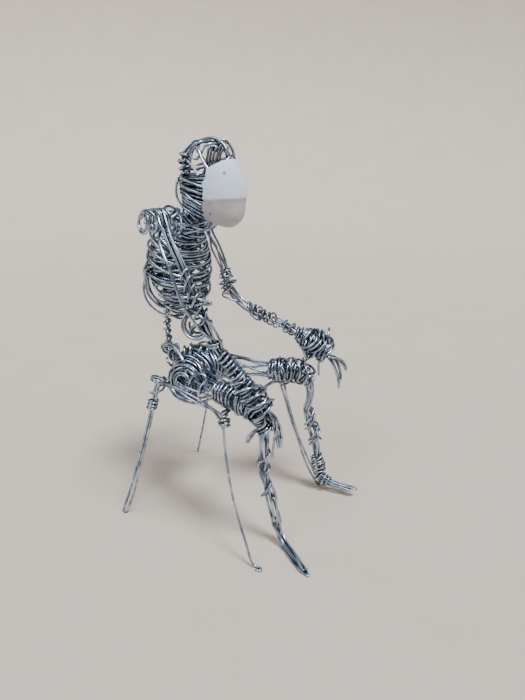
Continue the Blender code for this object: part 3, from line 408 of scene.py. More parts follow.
def right_arm(wires):
    # A few close turns, one long step, and an open ring at the outer end that is turned to the front
    close = coil(RIGHT_SHOULDER_AXIS, 4.5, 0.0, 0.66, [5.2, 5.8, 6.0], phase=0.25, rough=0.08, seed=17)
    step = coil(RIGHT_SHOULDER_AXIS, 0.5, 0.66, 0.92, 6.1, phase=0.75)
    facing, back = unit((-0.93, 0.34, 0.10)), unit((0.34, 0.93, 0.0))
    ring = spiral((-48.8, 15.6, 205.2), facing, back, 5.5, 4.0, 1.9)
    wires.stands("right_shoulder_coil", np.vstack([close, step[1:], ring[1:]]))
    fingers = ([(-33, -56, 95), (-29, -57, 84), (-27, -58, 74)], [(-36, -53, 93), (-38.5, -46, 87),
        (-39, -42, 80.5), (-38.2, -42.6, 78.8), (-37, -44.5, 82), (-35, -50, 90)], [(-31, -57, 94),
        (-30, -56, 80), (-30, -55, 67.5)], [(-30, -56, 95), (-28, -58.6, 88), (-27.4, -59.4, 81)])
    outs = [[1.8, 1.6, 1.6, 1.6, 1.4, 1.4]] * 4
    arm_wires(wires, "right", RIGHT_ARM_AXIS, outs, 0.5, fingers)
    wires.add("right_finger_pair", spline(doubled([(-33.5, -54, 97), (-29, -58, 88), (-27.4, -58.6, 80),
        (-26.6, -59, 74)])))
    wires.stands("right_arm_brace", spline([(-37, 12, 202), (-44, 9.5, 196.5), (-48, 3.5, 188.5),
        (-49.5, -1, 181.4), (-50, -8, 164.5), (-49.5, -13, 157), (-49, -18.5, 150), (-47, -25, 144)]),
        freedom=0.7)
    wires.add("right_arm_tie", coil(RIGHT_ARM_AXIS, 4, 0.26, 0.42, 3.4, rough=0.3, seed=18, tilt=2),
        BINDING_WIRE)
    wires.add("right_arm_point", spline([(-45, -8, 173), (-48.5, -13, 168.6), (-48.5, -20, 166.6),
        (-47, -25.6, 164.8), (-46.4, -26, 163.8), (-48.4, -20, 163), (-48.4, -14.4, 162), (-44, -11, 161)]))
    elbow = Axis([(-48.5, -16.0, 152), (-46, -14.7, 151), (-43.5, -13.4, 150)], side=(0, 0, 1))
    wires.stands("right_elbow_loops", coil(elbow, 2.6, 0, 1, [8.4, 7.2, 4.6], [7.8, 6.8, 4.2], phase=0.2,
        tilt=0.9, lean=0.3, rough=0.06, seed=19))
    small = Axis([(-49, -17.4, 147.6), (-46, -16.5, 146.6)], side=(0, 0, 1))
    wires.add("right_elbow_ring", coil(small, 1.6, 0, 1, [4.2, 3.6], phase=0.6, rough=0.05, seed=63))
    wires.add("right_elbow_sweep", spline([(-48, -8, 158), (-49, -14, 160), (-48, -21, 156),
        (-46, -26.5, 149), (-45, -29.5, 142), (-44, -29, 139)]))
    wires.add("right_elbow_knot", coil(RIGHT_ARM_AXIS, 2.2, 0.44, 0.53, [2.8, 4.4, 3.0], phase=0.4,
        rough=0.45, tilt=1.5, seed=55), BINDING_WIRE)
    low = Axis([(-43.9, -25.6, 142.2), (-43.3, -25.3, 138.2)], side=(0, 1, 0))
    wires.add("right_arm_rings", coil(low, 1.8, 0, 1, [3.4, 3.2], phase=0.4, rough=0.06, seed=64))
    wires.stands("right_forearm_winding", coil(RIGHT_ARM_AXIS, 8, 0.66, 0.83, [3.4, 4.0, 4.5, 4.8],
        phase=0.2, rough=0.16, seed=20))
    wires.stands("right_hand_winding", coil(RIGHT_ARM_AXIS, 8, 0.83, 1.0, [4.8, 6.2, 6.8], phase=0.4,
        rough=0.24, seed=21))
    wires.add("right_hand_cross", coil(RIGHT_ARM_AXIS, 4, 0.80, 0.99, [4.5, 7.4, 7.2], phase=0.1, tilt=5,
        lean=0.3, rough=0.25, seed=56))


def left_arm(wires):
    wires.stands("left_shoulder_coil", coil(LEFT_SHOULDER_AXIS, 6, 0, 1, [5.0, 5.6, 5.6, 5.0], phase=0.25,
        rough=0.05, seed=22))
    fingers = ([(44, -66, 110), (46, -72, 103), (46, -73, 101)], [(41, -64, 108), (42, -69, 95),
        (42, -70, 89)], [(37, -57, 108), (36, -57, 98)], [(43, -64, 107), (44, -68, 97), (44, -69.5, 91.5)])
    # The last two strands cross over to the other side of the arm above the elbow
    starts = [(3.0, 2.6, 2.2)] * 2 + [(-5.0, 3.4, 2.4)] * 2
    outs = [[*start, 2.4, 2.2, 1.8, 1.6] for start in starts]
    arm_wires(wires, "left", LEFT_ARM_AXIS, outs, 0.8, fingers)
    wires.add("left_finger_pair", spline(doubled([(42, -60, 112), (44.5, -66.5, 106), (45, -69, 99),
        (45, -70, 94)])))
    wires.add("left_back_finger", spline([(40, -62, 112), (44, -69, 109), (47.4, -71.4, 104.5),
        (47.6, -72.6, 101.5)]))
    wires.stands("left_elbow_winding", coil(LEFT_ARM_AXIS, 5, 0.29, 0.40, [3.8, 5.2, 4.2], rough=0.4,
        tilt=1.5, seed=23), BINDING_WIRE)
    wires.add("left_elbow_ring", coil(LEFT_ARM_AXIS, 1.5, 0.35, 0.40, [6.2, 5.4], phase=0.5, tilt=1.5,
        rough=0.2, seed=65), BINDING_WIRE)
    wires.add("left_elbow_end", spline([(38, 13, 151), (37, 17, 149), (34.5, 17.8, 145.5),
        (35.5, 13, 143.6), (40, 6, 141)]), BINDING_WIRE)
    wires.stands("left_forearm_winding", coil(LEFT_ARM_AXIS, 6, 0.53, 0.70, [3.4, 4.8, 3.4, 4.2],
        rough=0.45, tilt=1.5, seed=24), BINDING_WIRE)
    wires.add("left_wrist_winding", coil(LEFT_ARM_AXIS, 2.5, 0.73, 0.83, [3.4, 4.2, 3.6], rough=0.4,
        seed=57), BINDING_WIRE)
    wires.stands("left_hand_winding", coil(LEFT_ARM_AXIS, 10, 0.82, 1.0, [4.2, 7.4, 8.8, 7.4], phase=0.2,
        rough=0.20, seed=25))
    for number, (start, end, turns, tilt) in enumerate((((33, -50, 124), (47.6, -58, 112), 6, 3),
                                                        ((38, -44, 112), (43.4, -62, 124), 5, 4))):
        middle = (np.array(start) + end) / 2 + (0, 0, 1.0)
        axis = Axis([start, middle, end], side=(0, 0, 1))
        wires.add("left_hand_cross_%d" % (number + 1), coil(axis, turns, 0.05, 0.95, [6, 8.2, 6],
            phase=0.3 * number, tilt=tilt, rough=0.2, seed=58 + number))


def leg_wire(axis, foot, out, twist):
    """One wire that runs down a limb, forms the foot's long loop and runs up again beside itself."""
    down = strand(axis, 0.0, 0.97, out, twist=twist)
    up = strand(axis, 0.97, 0.0, out[::-1], phase=0.5 + twist, twist=-twist)
    return np.vstack([down, spline([down[-1]] + foot + [up[0]])[1:-1], up])


def right_leg(wires):
    foot = [(-25.5, -60, 1.6), (-34.5, -71, 0.9), (-41, -83, 0.8), (-42, -86, 0.8), (-39.8, -84.4, 0.8),
        (-30, -73, 0.9), (-22.6, -62, 2.2)]
    wires.stands("right_leg_wire", leg_wire(RIGHT_LEG_AXIS, foot,
        [5.5, 4.0, 2.4, 2.2, 2.1, 2.1, 2.4, BOUND], 1.2), freedom=0.4)
    wires.stands("right_leg_second_wire", strand(RIGHT_LEG_AXIS, 0.0, 0.90,
        [5.5, 4.0, 2.4, 2.2, 2.1, 2.1, 2.3], phase=0.25, twist=1.2), freedom=0.4)
    for number in range(2):
        wires.add("right_leg_strand_%d" % (number + 3), strand(RIGHT_LEG_AXIS, 0.0, 0.93 - 0.02 * number,
            [3.5, 3.2, 2.8, 2.7, 2.6, 2.6, 3.8, 2.0], phase=0.7 + 0.2 * number, twist=1.4), freedom=0.4)
    for number in range(5):
        # Strands that run from the front of the hips along the inner side of the thigh
        aside, low = 2.2 * (number % 3), 2.4 * number
        wires.add("right_thigh_strand_%d" % (number + 1), spline([(-4 - aside, 8, 107 - low),
            (-9 - aside, 1, 108 - low), (-14 - aside, -12, 107.5 - low), (-19 - aside, -25, 106 - low),
            (-23, -35, 103 - 0.5 * low)]), freedom=0.5)
    for number in range(4):
        # Strands packed into the foot's long loop
        aside, high = 1.5 * (number % 2), 1.7 * (number // 2)
        wires.add("right_foot_core_%d" % (number + 1), spline([(-24 + aside, -54 - aside, 20 - 2 * high),
            (-24.5 + aside, -57.5, 8 + high), (-27 + aside, -62 - aside * 0.5, 3.4 + high),
            (-32 + aside, -70, 2.6 + high), (-37, -77.5, 2.3 + 0.8 * high),
            (-40.4 - 0.2 * high, -83, 2.2 + 0.4 * high)]), freedom=0.6)
    wires.stands("right_thigh_winding", coil(RIGHT_LEG_AXIS, 8, 0.16, 0.33, [6.0, 7.5, 7.0], phase=0.1,
        rough=0.15, seed=26))
    wires.stands("right_knee_winding", coil(RIGHT_LEG_AXIS, 8, 0.33, 0.46, [7.0, 6.2, 5.4, 4.2], phase=0.1,
        rough=0.16, seed=27))
    wires.add("right_knee_cross", coil(RIGHT_LEG_AXIS, 5, 0.20, 0.44, [5, 7.4, 6.6, 5], phase=0.5, tilt=3.5,
        lean=0.4, rough=0.2, seed=60))
    wires.stands("right_shin_winding", coil(RIGHT_LEG_AXIS, 1.5, 0.56, 0.68, [3.4, 4.2, 3.6], rough=0.1,
        tilt=1.3, lean=0.75, seed=28), BINDING_WIRE)
    wires.add("right_ankle_winding", coil(RIGHT_LEG_AXIS, 1.1, 0.73, 0.82, [3.2, 4.6, 3.2], phase=0.1,
        rough=0.1, tilt=2.0, lean=0.75, seed=29))


def left_leg(wires):
    foot = [(48, -62, 6.5), (49.5, -75, 7), (48, -86, 6.8), (46.5, -78, 8), (45.5, -66, 9.5)]
    wires.stands("left_leg_wire", leg_wire(LEFT_LEG_AXIS, foot, [6.5, 5.0, 3.0, 2.3, 2.4, 2.2, 2.2, BOUND],
        1.1), freedom=0.4)
    wires.stands("left_leg_second_wire", strand(LEFT_LEG_AXIS, 0.0, 0.95,
        [6.0, 4.5, 2.8, 2.3, 2.4, 2.2, 2.1], phase=0.25, twist=1.1), freedom=0.4)
    for number in range(2):
        wires.add("left_leg_strand_%d" % (number + 3), strand(LEFT_LEG_AXIS, 0.0, 0.95 - 0.2 * number,
            [4.0, 4.0, 2.6, 2.2, 2.2, 2.1], phase=0.75 - 0.3 * number, twist=1.3), freedom=0.4)
    wires.add("left_thigh_strand", strand(LEFT_LEG_AXIS, -0.02, 0.34, [7.0, 5.4, 4.4], phase=0.1,
        twist=0.2), freedom=0.5)
    for number in range(4):
        # Strands that part behind the toes and meet again at the tip
        aside, low = 3.0 * (number % 2) - 1.5, 1.7 * (number // 2)
        wires.add("left_foot_core_%d" % (number + 1), spline([(46.6 + aside, -55, 15),
            (46.8 + aside, -61, 9.8 - low), (47.2 + 1.3 * aside, -68, 7.6 - low),
            (47.4 + 0.8 * aside, -76, 6.8 - 0.6 * low), (47.7 + 0.3 * aside, -83 + 0.8 * number, 6.6)]),
            freedom=0.6)
    instep = Axis([(45.2, -55, 14), (45.6, -60, 10), (46, -65, 8)])
    wires.add("left_instep_winding", coil(instep, 3.5, 0, 1, [3.6, 3.9, 3.4], rough=0.2, tilt=1.5, seed=66))
    wires.stands("left_knee_winding", coil(LEFT_LEG_AXIS, 12, 0.24, 0.44, [6.2, 6.8, 6.6, 5.2], phase=0.1,
        rough=0.14, tilt=1.2, seed=30))
    wires.add("left_knee_cross", coil(LEFT_LEG_AXIS, 5, 0.25, 0.43, [5.5, 7.2, 6.2], phase=0.6, tilt=4,
        lean=0.5, rough=0.2, seed=61))
    wires.stands("left_shin_winding", coil(LEFT_LEG_AXIS, 2.2, 0.60, 0.79, [3.8, 4.8, 4.6], rough=0.06,
        tilt=2.0, lean=0.75, seed=31))
    wires.add("left_shin_second_winding", coil(LEFT_LEG_AXIS, 2.0, 0.625, 0.80, [4.0, 5.0, 4.6], rough=0.06,
        tilt=2.0, lean=0.75, seed=31))
    wires.stands("left_ankle_winding", coil(LEFT_LEG_AXIS, 5, 0.86, 0.95, [3.8, 4.6, 4.2], rough=0.25,
        seed=32), BINDING_WIRE)


# The seat's corners: shares of half its width and depth, and the rise over the seat's height in wires
CORNERS = {"right_back": (-0.96, 0.86, 6.0), "right_front": (-1.0, -0.97, -3.0),
    "left_front": (1.04, -1.0, -6.0), "left_back": (0.88, 1.12, 0.0)}
# The feet, in shares of half the width and depth that they span
FEET = {"right_back": (-0.95, 1.0), "right_front": (-1.03, -0.94), "left_front": (1.03, -1.0),
    "left_back": (0.95, 1.0)}
# The right front leg ends in a hook on the floor, drawn in wires
FOOT_HOOK = ((0.4, -1.6, 0.5), (0.1, -3.4, 0.5), (-0.9, -3.6, 0.5), (-1.1, -1.8, 0.5))
# Turns of binding wire at three corners, their radii in wires, and how far apart they lie in wires
CORNER_WINDINGS = {"right_front": (3.5, (1.8, 2.2, 1.8), 1.3), "left_front": (3, (1.8, 2.2, 1.8), 1.3),
    "left_back": (3, (1.8, 2.2, 1.8), 1.6)}
# How far the right back corner's winding reaches down the leg, in wires, and the shares of that reach
# where its loose ring and its slanting turn end
BACK_WINDING_REACH = 15.0
RING_END = 0.13
SLANT_END = 0.68


def corner(name, lift=0.0, inset=0.0):
    """A corner of the seat frame, in metres, raised by lift wires and moved inwards by inset."""
    side, end, rise = CORNERS[name]
    return np.array([side * SEAT_WIDTH / 2 - math.copysign(inset, side),
        end * SEAT_DEPTH / 2 - math.copysign(inset, end) + STOOL_BACK, SEAT_HEIGHT + (rise + lift) * WIRE])


def leg_line(name, lift, foot_height, bow):
    """Points from a seat corner down to its foot, bowed to the stool's middle by a share of its length."""
    side, end = FEET[name]
    foot = np.array([side * FEET_WIDTH / 2, end * FEET_DEPTH / 2 + STOOL_BACK, foot_height])
    start = corner(name, lift)
    shares = np.linspace(0, 1, 8)[:, None]
    line = start + (foot - start) * shares
    line[:, 1] -= math.copysign(bow, end) * np.linalg.norm(foot - start) * np.sin(math.pi * shares[:, 0])
    return line


def bent(*parts):
    """A smooth wire through rows of points in metres, evenly divided."""
    return spline(np.vstack(parts) / UNIT) * UNIT


def stool(wires):
    apart = np.array([0.0, -1.0, 0.0]) * (WIRE + WIRE_GAP)
    for name, bow, gap in (("right_back", 0.015, apart), ("left_front", 0.04, -apart)):
        down = leg_line(name, 0, WIRE / 2, bow)
        up = leg_line(name, -1, WIRE / 2, bow)[::-1] + gap
        # The two strands part a little above the foot, like the eye of a needle
        up[1] += 1.2 * gap
        up[2] += 0.8 * gap
        wires.stands(name + "_stool_leg", bent(down, up), freedom=0.3, drawn=False)
    leg = leg_line("right_front", -1, WIRE, 0.05)
    wires.stands("right_front_stool_leg", bent(leg, leg[-1] * (1, 1, 0) + np.array(FOOT_HOOK) * WIRE),
        freedom=0.3, drawn=False)
    wires.stands("left_back_stool_leg", bent(leg_line("left_back", -1, WIRE / 2, -0.02)), freedom=0.3,
        drawn=False)

    inset = WIRE + WIRE_GAP
    rails = {"right": (corner("right_back", -1, inset), corner("right_front", 0, inset), (0.09, 0, -0.02)),
        "left": (corner("left_back", 0, inset), corner("left_front", 0, inset), (-0.055, 0, -0.02)),
        "front": (corner("right_front", 1, -inset), corner("left_front", 1, -inset), (0, 0, 0)),
        "back": (corner("right_back", -3), corner("left_back", -1), (0, 0, -0.04))}
    for name, (start, end, bow) in rails.items():
        shares = np.linspace(0, 1, 6)[:, None]
        length = np.linalg.norm(end - start)
        line = start + (end - start) * shares + np.sin(math.pi * shares) * length * np.asarray(bow)
        wires.stands(name + "_seat_rail", bent(line), freedom=0.4, drawn=False)
        if name in ("right", "front"):
            sway = np.sin(3 * math.pi * shares) * np.array([0.6, 0.4, 0.5]) * WIRE
            second = line + (0, 0, -1.3 * WIRE) + sway
            wires.add(name + "_second_rail", bent(second), freedom=0.4, drawn=False)
    # A loose ring on top, a long slanting turn down the leg, and a tight binding below it
    line = leg_line("right_back", 1, 0.0, 0.0)
    reach = BACK_WINDING_REACH * WIRE / np.linalg.norm(line[-1] - line[0])
    axis = Axis((line - (0, WIRE, 0)) / UNIT)
    ring = coil(axis, 2.0, 0.0, RING_END * reach, 2.9 * WIRE_UNITS, tilt=0.8)
    slant = coil(axis, 1.0, RING_END * reach, SLANT_END * reach, [2.9 * WIRE_UNITS, 1.7 * WIRE_UNITS])
    bound = coil(axis, 3.0, SLANT_END * reach, reach, 1.8 * WIRE_UNITS)
    wires.stands("right_back_corner_winding", np.vstack([ring, slant[1:], bound[1:]]) * UNIT, BINDING_WIRE,
        drawn=False)
    for name, (turns, wide, pitch) in CORNER_WINDINGS.items():
        line = leg_line(name, 1, 0.0, 0.0)
        reach = turns * pitch * WIRE / np.linalg.norm(line[-1] - line[0])
        path = coil(Axis(line / UNIT), turns, 0.0, reach, np.array(wide) * WIRE_UNITS, rough=0.3, tilt=1,
            seed=33)
        wires.stands(name + "_corner_winding", path * UNIT, BINDING_WIRE, drawn=False)


def near_pairs(middles, reach):
    """Pairs of points that are closer than reach, found cell by cell."""
    cells = np.floor(middles / reach).astype(np.int64)
    cells -= cells.min(0) - 1
    size = cells.max(0) + 2
    keys = (cells[:, 0] * size[1] + cells[:, 1]) * size[2] + cells[:, 2]
    order = np.argsort(keys, kind="stable")
    ranked = keys[order]
    numbers = np.arange(len(keys))
    found = []
    for x in (-1, 0, 1):
        for y in (-1, 0, 1):
            for z in (-1, 0, 1):
                step = (x * size[1] + y) * size[2] + z
                if step < 0:
                    continue
                low = np.searchsorted(ranked, keys + step, "left")
                count = np.searchsorted(ranked, keys + step, "right") - low
                offset = np.arange(count.sum()) - np.repeat(np.cumsum(count) - count, count)
                first, second = np.repeat(numbers, count), order[np.repeat(low, count) + offset]
                keep = first < second if step == 0 else first != second
                found.append(np.column_stack([first[keep], second[keep]]))
    pairs = np.vstack(found)
    near = np.linalg.norm(middles[pairs[:, 0]] - middles[pairs[:, 1]], axis=1) < reach
    return pairs[near, 0], pairs[near, 1]


def closest(start_a, end_a, start_b, end_b):
    """How far along two rows of segments their closest points lie, as shares."""
    along_a, along_b, between = end_a - start_a, end_b - start_b, start_a - start_b
    aa = (along_a * along_a).sum(1) + 1e-18
    bb = (along_b * along_b).sum(1) + 1e-18
    ab = (along_a * along_b).sum(1)
    ac = (along_a * between).sum(1)
    bc = (along_b * between).sum(1)
    spread = aa * bb - ab * ab
    flat = spread <= 1e-9 * aa * bb
    share_a = np.where(flat, 0.5, np.clip((ab * bc - ac * bb) / np.where(flat, 1, spread), 0, 1))
    share_b = np.clip((ab * share_a + bc) / bb, 0, 1)
    share_a = np.clip((ab * share_b - ac) / aa, 0, 1)
    return share_a, share_b


def nearest(points, a, b):
    """Where segments a and b come closest, as shares of each, and the step from b's place to a's."""
    share_a, share_b = closest(points[a], points[a + 1], points[b], points[b + 1])
    between = (points[a] + (points[a + 1] - points[a]) * share_a[:, None]
               - points[b] - (points[b + 1] - points[b]) * share_b[:, None])
    return share_a, share_b, between


def settle(rows, gap, rounds):
    """Pushes wires apart until their surfaces clear each other by gap. A point with no freedom stays put."""
    counts = [len(row[1]) for row in rows]
    first = np.concatenate([[0], np.cumsum(counts)])
    drawn = np.vstack([row[1] for row in rows])
    points = drawn.copy()
    owner = np.repeat(np.arange(len(rows)), counts)
    radius = np.repeat([row[2] / 2 for row in rows], counts)
    freedom = np.concatenate([row[3] for row in rows])
    ends = np.zeros(len(points), bool)
    ends[first[:-1]] = True
    ends[first[1:] - 1] = True
    heads = np.concatenate([np.arange(first[i], first[i + 1] - 1) for i in range(len(rows))])
    inner = np.where(~ends)[0]
    lengths = np.linalg.norm(points[heads + 1] - points[heads], axis=1)
    arc = np.concatenate([np.concatenate([[0], np.cumsum(np.linalg.norm(np.diff(row[1], axis=0),
        axis=1))]) for row in rows])
    slack = WIRE
    reach = lengths.max() + 2 * radius.max() + gap + slack
    for number in range(rounds):
        if number % SEARCH_EVERY == 0:
            middles = (points[heads] + points[heads + 1]) / 2
            a, b = near_pairs(middles, reach)
            same = owner[heads[a]] == owner[heads[b]]
            tight = same & (np.abs(arc[heads[a]] - arc[heads[b]]) < OWN_LENGTH * (2 * radius[heads[a]] + gap))
            a, b = heads[a[~tight]], heads[b[~tight]]
            _, _, between = nearest(points, a, b)
            apart = np.linalg.norm(between, axis=1)
            near = apart < radius[a] + radius[b] + gap + slack
            a, b = a[near], b[near]
        share_a, share_b, between = nearest(points, a, b)
        apart = np.linalg.norm(between, axis=1)
        short = radius[a] + radius[b] + gap - apart
        hit = short > 0
        if not hit.any():
            break
        i, j, share_i, share_j, lack = a[hit], b[hit], share_a[hit], share_b[hit], short[hit]
        across = unit(np.cross(points[i + 1] - points[i], points[j + 1] - points[j]))
        aim = np.where((apart[hit] > 1e-6)[:, None], unit(between[hit]), across)
        free_i = freedom[i] * (1 - share_i) + freedom[i + 1] * share_i
        free_j = freedom[j] * (1 - share_j) + freedom[j + 1] * share_j
        both = np.maximum(free_i + free_j, 1e-9)
        index = np.concatenate([i, i + 1, j, j + 1])
        share = np.concatenate([1 - share_i, share_i, 1 - share_j, share_j])
        push = np.concatenate([lack * free_i / both] * 2 + [-lack * free_j / both] * 2) * share
        aims = np.tile(aim, (4, 1))
        move = np.column_stack([np.bincount(index, aims[:, k] * push, len(points)) for k in range(3)])
        weight = np.bincount(index, share * share, len(points))
        points += PUSH * move / np.maximum(weight, 0.5)[:, None] * (freedom > 0)[:, None]
        # Paths are eased less and less, and no more after half of the rounds
        smooth = EASING * max(0.0, 1 - 2.0 * number / rounds)
        if smooth > 0:
            moved = points - drawn
            eased = moved.copy()
            eased[inner] = (moved[inner - 1] + 2 * moved[inner] + moved[inner + 1]) / 4
            points = drawn + moved + (eased - moved) * smooth * (freedom > 0)[:, None]
        points[:, 2] = np.where(freedom > 0, np.maximum(points[:, 2], radius), points[:, 2])
    return [points[first[k]:first[k + 1]] for k in range(len(rows))]


def linked(name, data):
    """A new object that holds the data, linked to the scene."""
    piece = bpy.data.objects.new(name, data)
    bpy.context.scene.collection.objects.link(piece)
    return piece


def tube(name, path, thickness, material):
    """A round wire along a path: rings square to it, with slightly rounded ends, and a map of its surface."""
    line = evenly(smooth_line(path, 6), RING_SPACING)
    along = unit(np.gradient(line, axis=0))
    side = unit(np.cross(along[0], (0.31, 0.52, 0.79)))
    sides = np.empty_like(line)
    for i, direction in enumerate(along):
        side = unit(side - direction * (side @ direction))
        sides[i] = side
    ups = np.cross(along, sides)
    # Two narrower rings at each end round off the cut
    radius = thickness / 2
    ring_at = np.concatenate([[0, 0, 0], np.arange(1, len(line) - 1), [-1, -1, -1]])
    lift = np.zeros(len(ring_at))
    grow = np.ones(len(ring_at))
    for k, (past, wide) in enumerate(END_RINGS):
        lift[k], lift[-1 - k] = -past * radius, past * radius
        grow[k] = grow[-1 - k] = wide
    angle = np.linspace(0, FULL_TURN, SIDES, endpoint=False)
    middle = line[ring_at] + along[ring_at] * lift[:, None]
    around = (sides[ring_at][:, None] * np.cos(angle)[None, :, None]
              + ups[ring_at][:, None] * np.sin(angle)[None, :, None])
    rings = middle[:, None] + (grow * radius)[:, None, None] * around
    count = len(rings)
    vertices = rings.reshape(-1, 3)
    vertices[:, 2] = np.maximum(vertices[:, 2], 0)
    faces = []
    for ring in range(count - 1):
        for k in range(SIDES):
            n = (k + 1) % SIDES
            faces.append((ring * SIDES + k, ring * SIDES + n, (ring + 1) * SIDES + n,
                (ring + 1) * SIDES + k))
    faces.append(tuple(range(SIDES - 1, -1, -1)))
    faces.append(tuple((count - 1) * SIDES + k for k in range(SIDES)))
    mesh = bpy.data.meshes.new(name)
    mesh.from_pydata(vertices.tolist(), [], faces)
    mesh.shade_smooth()
    # The map runs round the wire and along it, in metres, so that the drawing marks follow the wire
    length = np.concatenate([[0], np.cumsum(np.linalg.norm(np.diff(middle, axis=0), axis=1))])
    uv = np.zeros((len(mesh.loops), 2))
    start = 0
    step = FULL_TURN * radius / SIDES
    quads = (count - 1) * SIDES
    ring_of, k_of = np.divmod(np.arange(quads), SIDES)
    low, high = length[ring_of], length[ring_of + 1]
    left, right = k_of * step, (k_of + 1) * step
    corners = np.stack([np.column_stack([left, low]), np.column_stack([right, low]),
        np.column_stack([right, high]), np.column_stack([left, high])], axis=1)
    uv[:quads * 4] = corners.reshape(-1, 2)
    layer = mesh.uv_layers.new(name="wire")
    layer.data.foreach_set("uv", uv.ravel())
    mesh.materials.append(material)
    return linked(name, mesh)


def mask_surface(inset):
    """Rows of points over the sheet round the face, from its top edge down, moved inwards by inset metres."""
    # The middle line in figure units, forwards and height, and the half width there as a share of the widest
    fronts = np.array([(-12.8, 238, 0.80), (-15.2, 235.2, 0.87), (-17.2, 231.8, 0.92), (-19.4, 226, 0.98),
        (-20.4, 219.6, 1.0), (-20.4, 216.8, 1.0), (-19.9, 215.2, 0.985), (-19.6, 212.2, 0.96),
        (-19.2, 207.6, 0.92), (-17.4, 203.4, 0.86), (-14.4, 200.9, 0.80), (-11.5, 199, 0.74)])
    # The side edges in figure units, forwards and height
    edges = np.array([(-3, 233), (-2.5, 230.8), (-2, 228), (-1, 223), (-1, 218.6), (-1.1, 216.6),
        (-0.8, 215.2), (-0.3, 212.6), (0.2, 209.2), (0.5, 206.8), (0.5, 205.3), (0.5, 204.5)])
    fine = np.linspace(0, 1, MASK_ROWS)
    smooth_rows = smooth_line(fronts * (1, 1, MASK_HALF_WIDTH), 10)
    smooth_edges = smooth_line(np.column_stack([edges, np.zeros(len(edges))]), 10)
    smooth_places = np.linspace(0, 1, len(smooth_rows))
    front = np.column_stack([np.interp(fine, smooth_places, smooth_rows[:, k]) for k in range(3)])
    edge = np.column_stack([np.interp(fine, smooth_places, smooth_edges[:, k]) for k in range(2)])
    angle = np.linspace(-math.pi / 2, math.pi / 2, MASK_COLUMNS)
    rows = []
    for row, (front_row, edge_row) in enumerate(zip(front, edge)):
        wide = front_row[2] - inset / UNIT
        front_y = front_row[0] + inset / UNIT
        # The cut edges waver a little, as scissors leave them
        waver = sum(size * math.sin(waves * FULL_TURN * fine[row] + ahead) for size, waves, ahead in WAVERS)
        turn = np.cos(angle)
        side_share = (1 - turn) ** 6
        points = np.column_stack([wide * np.sin(angle),
            edge_row[0] + (front_y - edge_row[0]) * turn + waver * side_share,
            edge_row[1] + (front_row[1] - edge_row[1]) * turn])
        rows.append(points)
    rows = np.array(rows)
    # Soft dents of the hand-bent sheet
    shares = np.linspace(0, 1, MASK_COLUMNS)
    dent = DENT * np.sin(7 * fine[:, None] + 9 * shares) * np.sin(11 * shares - 3 * fine[:, None])
    rows[:, :, 1] += dent * np.cos(angle)[None]
    rows[:, :, 0] += dent * np.sin(angle)[None]
    return placed(rows)


def face_mask(material):
    """The thin white sheet bent round the face: two skins a thickness apart, joined at the edges."""
    skins = [mask_surface(0), mask_surface(MASK_THICKNESS)]
    high, wide = skins[0].shape[:2]
    mesh = bmesh.new()
    rows = [[[mesh.verts.new(point) for point in row] for row in skin] for skin in skins]
    for skin in rows:
        for r in range(high - 1):
            for c in range(wide - 1):
                mesh.faces.new([skin[r][c], skin[r + 1][c], skin[r + 1][c + 1], skin[r][c + 1]])
    edge = [(0, c) for c in range(wide - 1)] + [(r, wide - 1) for r in range(high - 1)] \
        + [(high - 1, c) for c in range(wide - 1, 0, -1)] + [(r, 0) for r in range(high - 1, 0, -1)]
    for (r, c), (next_r, next_c) in zip(edge, edge[1:] + edge[:1]):
        mesh.faces.new([rows[0][r][c], rows[0][next_r][next_c], rows[1][next_r][next_c], rows[1][r][c]])
    bmesh.ops.recalc_face_normals(mesh, faces=mesh.faces)
    data = bpy.data.meshes.new("bent_sheet")
    mesh.to_mesh(data)
    mesh.free()
    data.shade_smooth()
    data.set_sharp_from_angle(angle=math.radians(50))
    data.materials.append(material)
    return linked("bent_sheet", data)


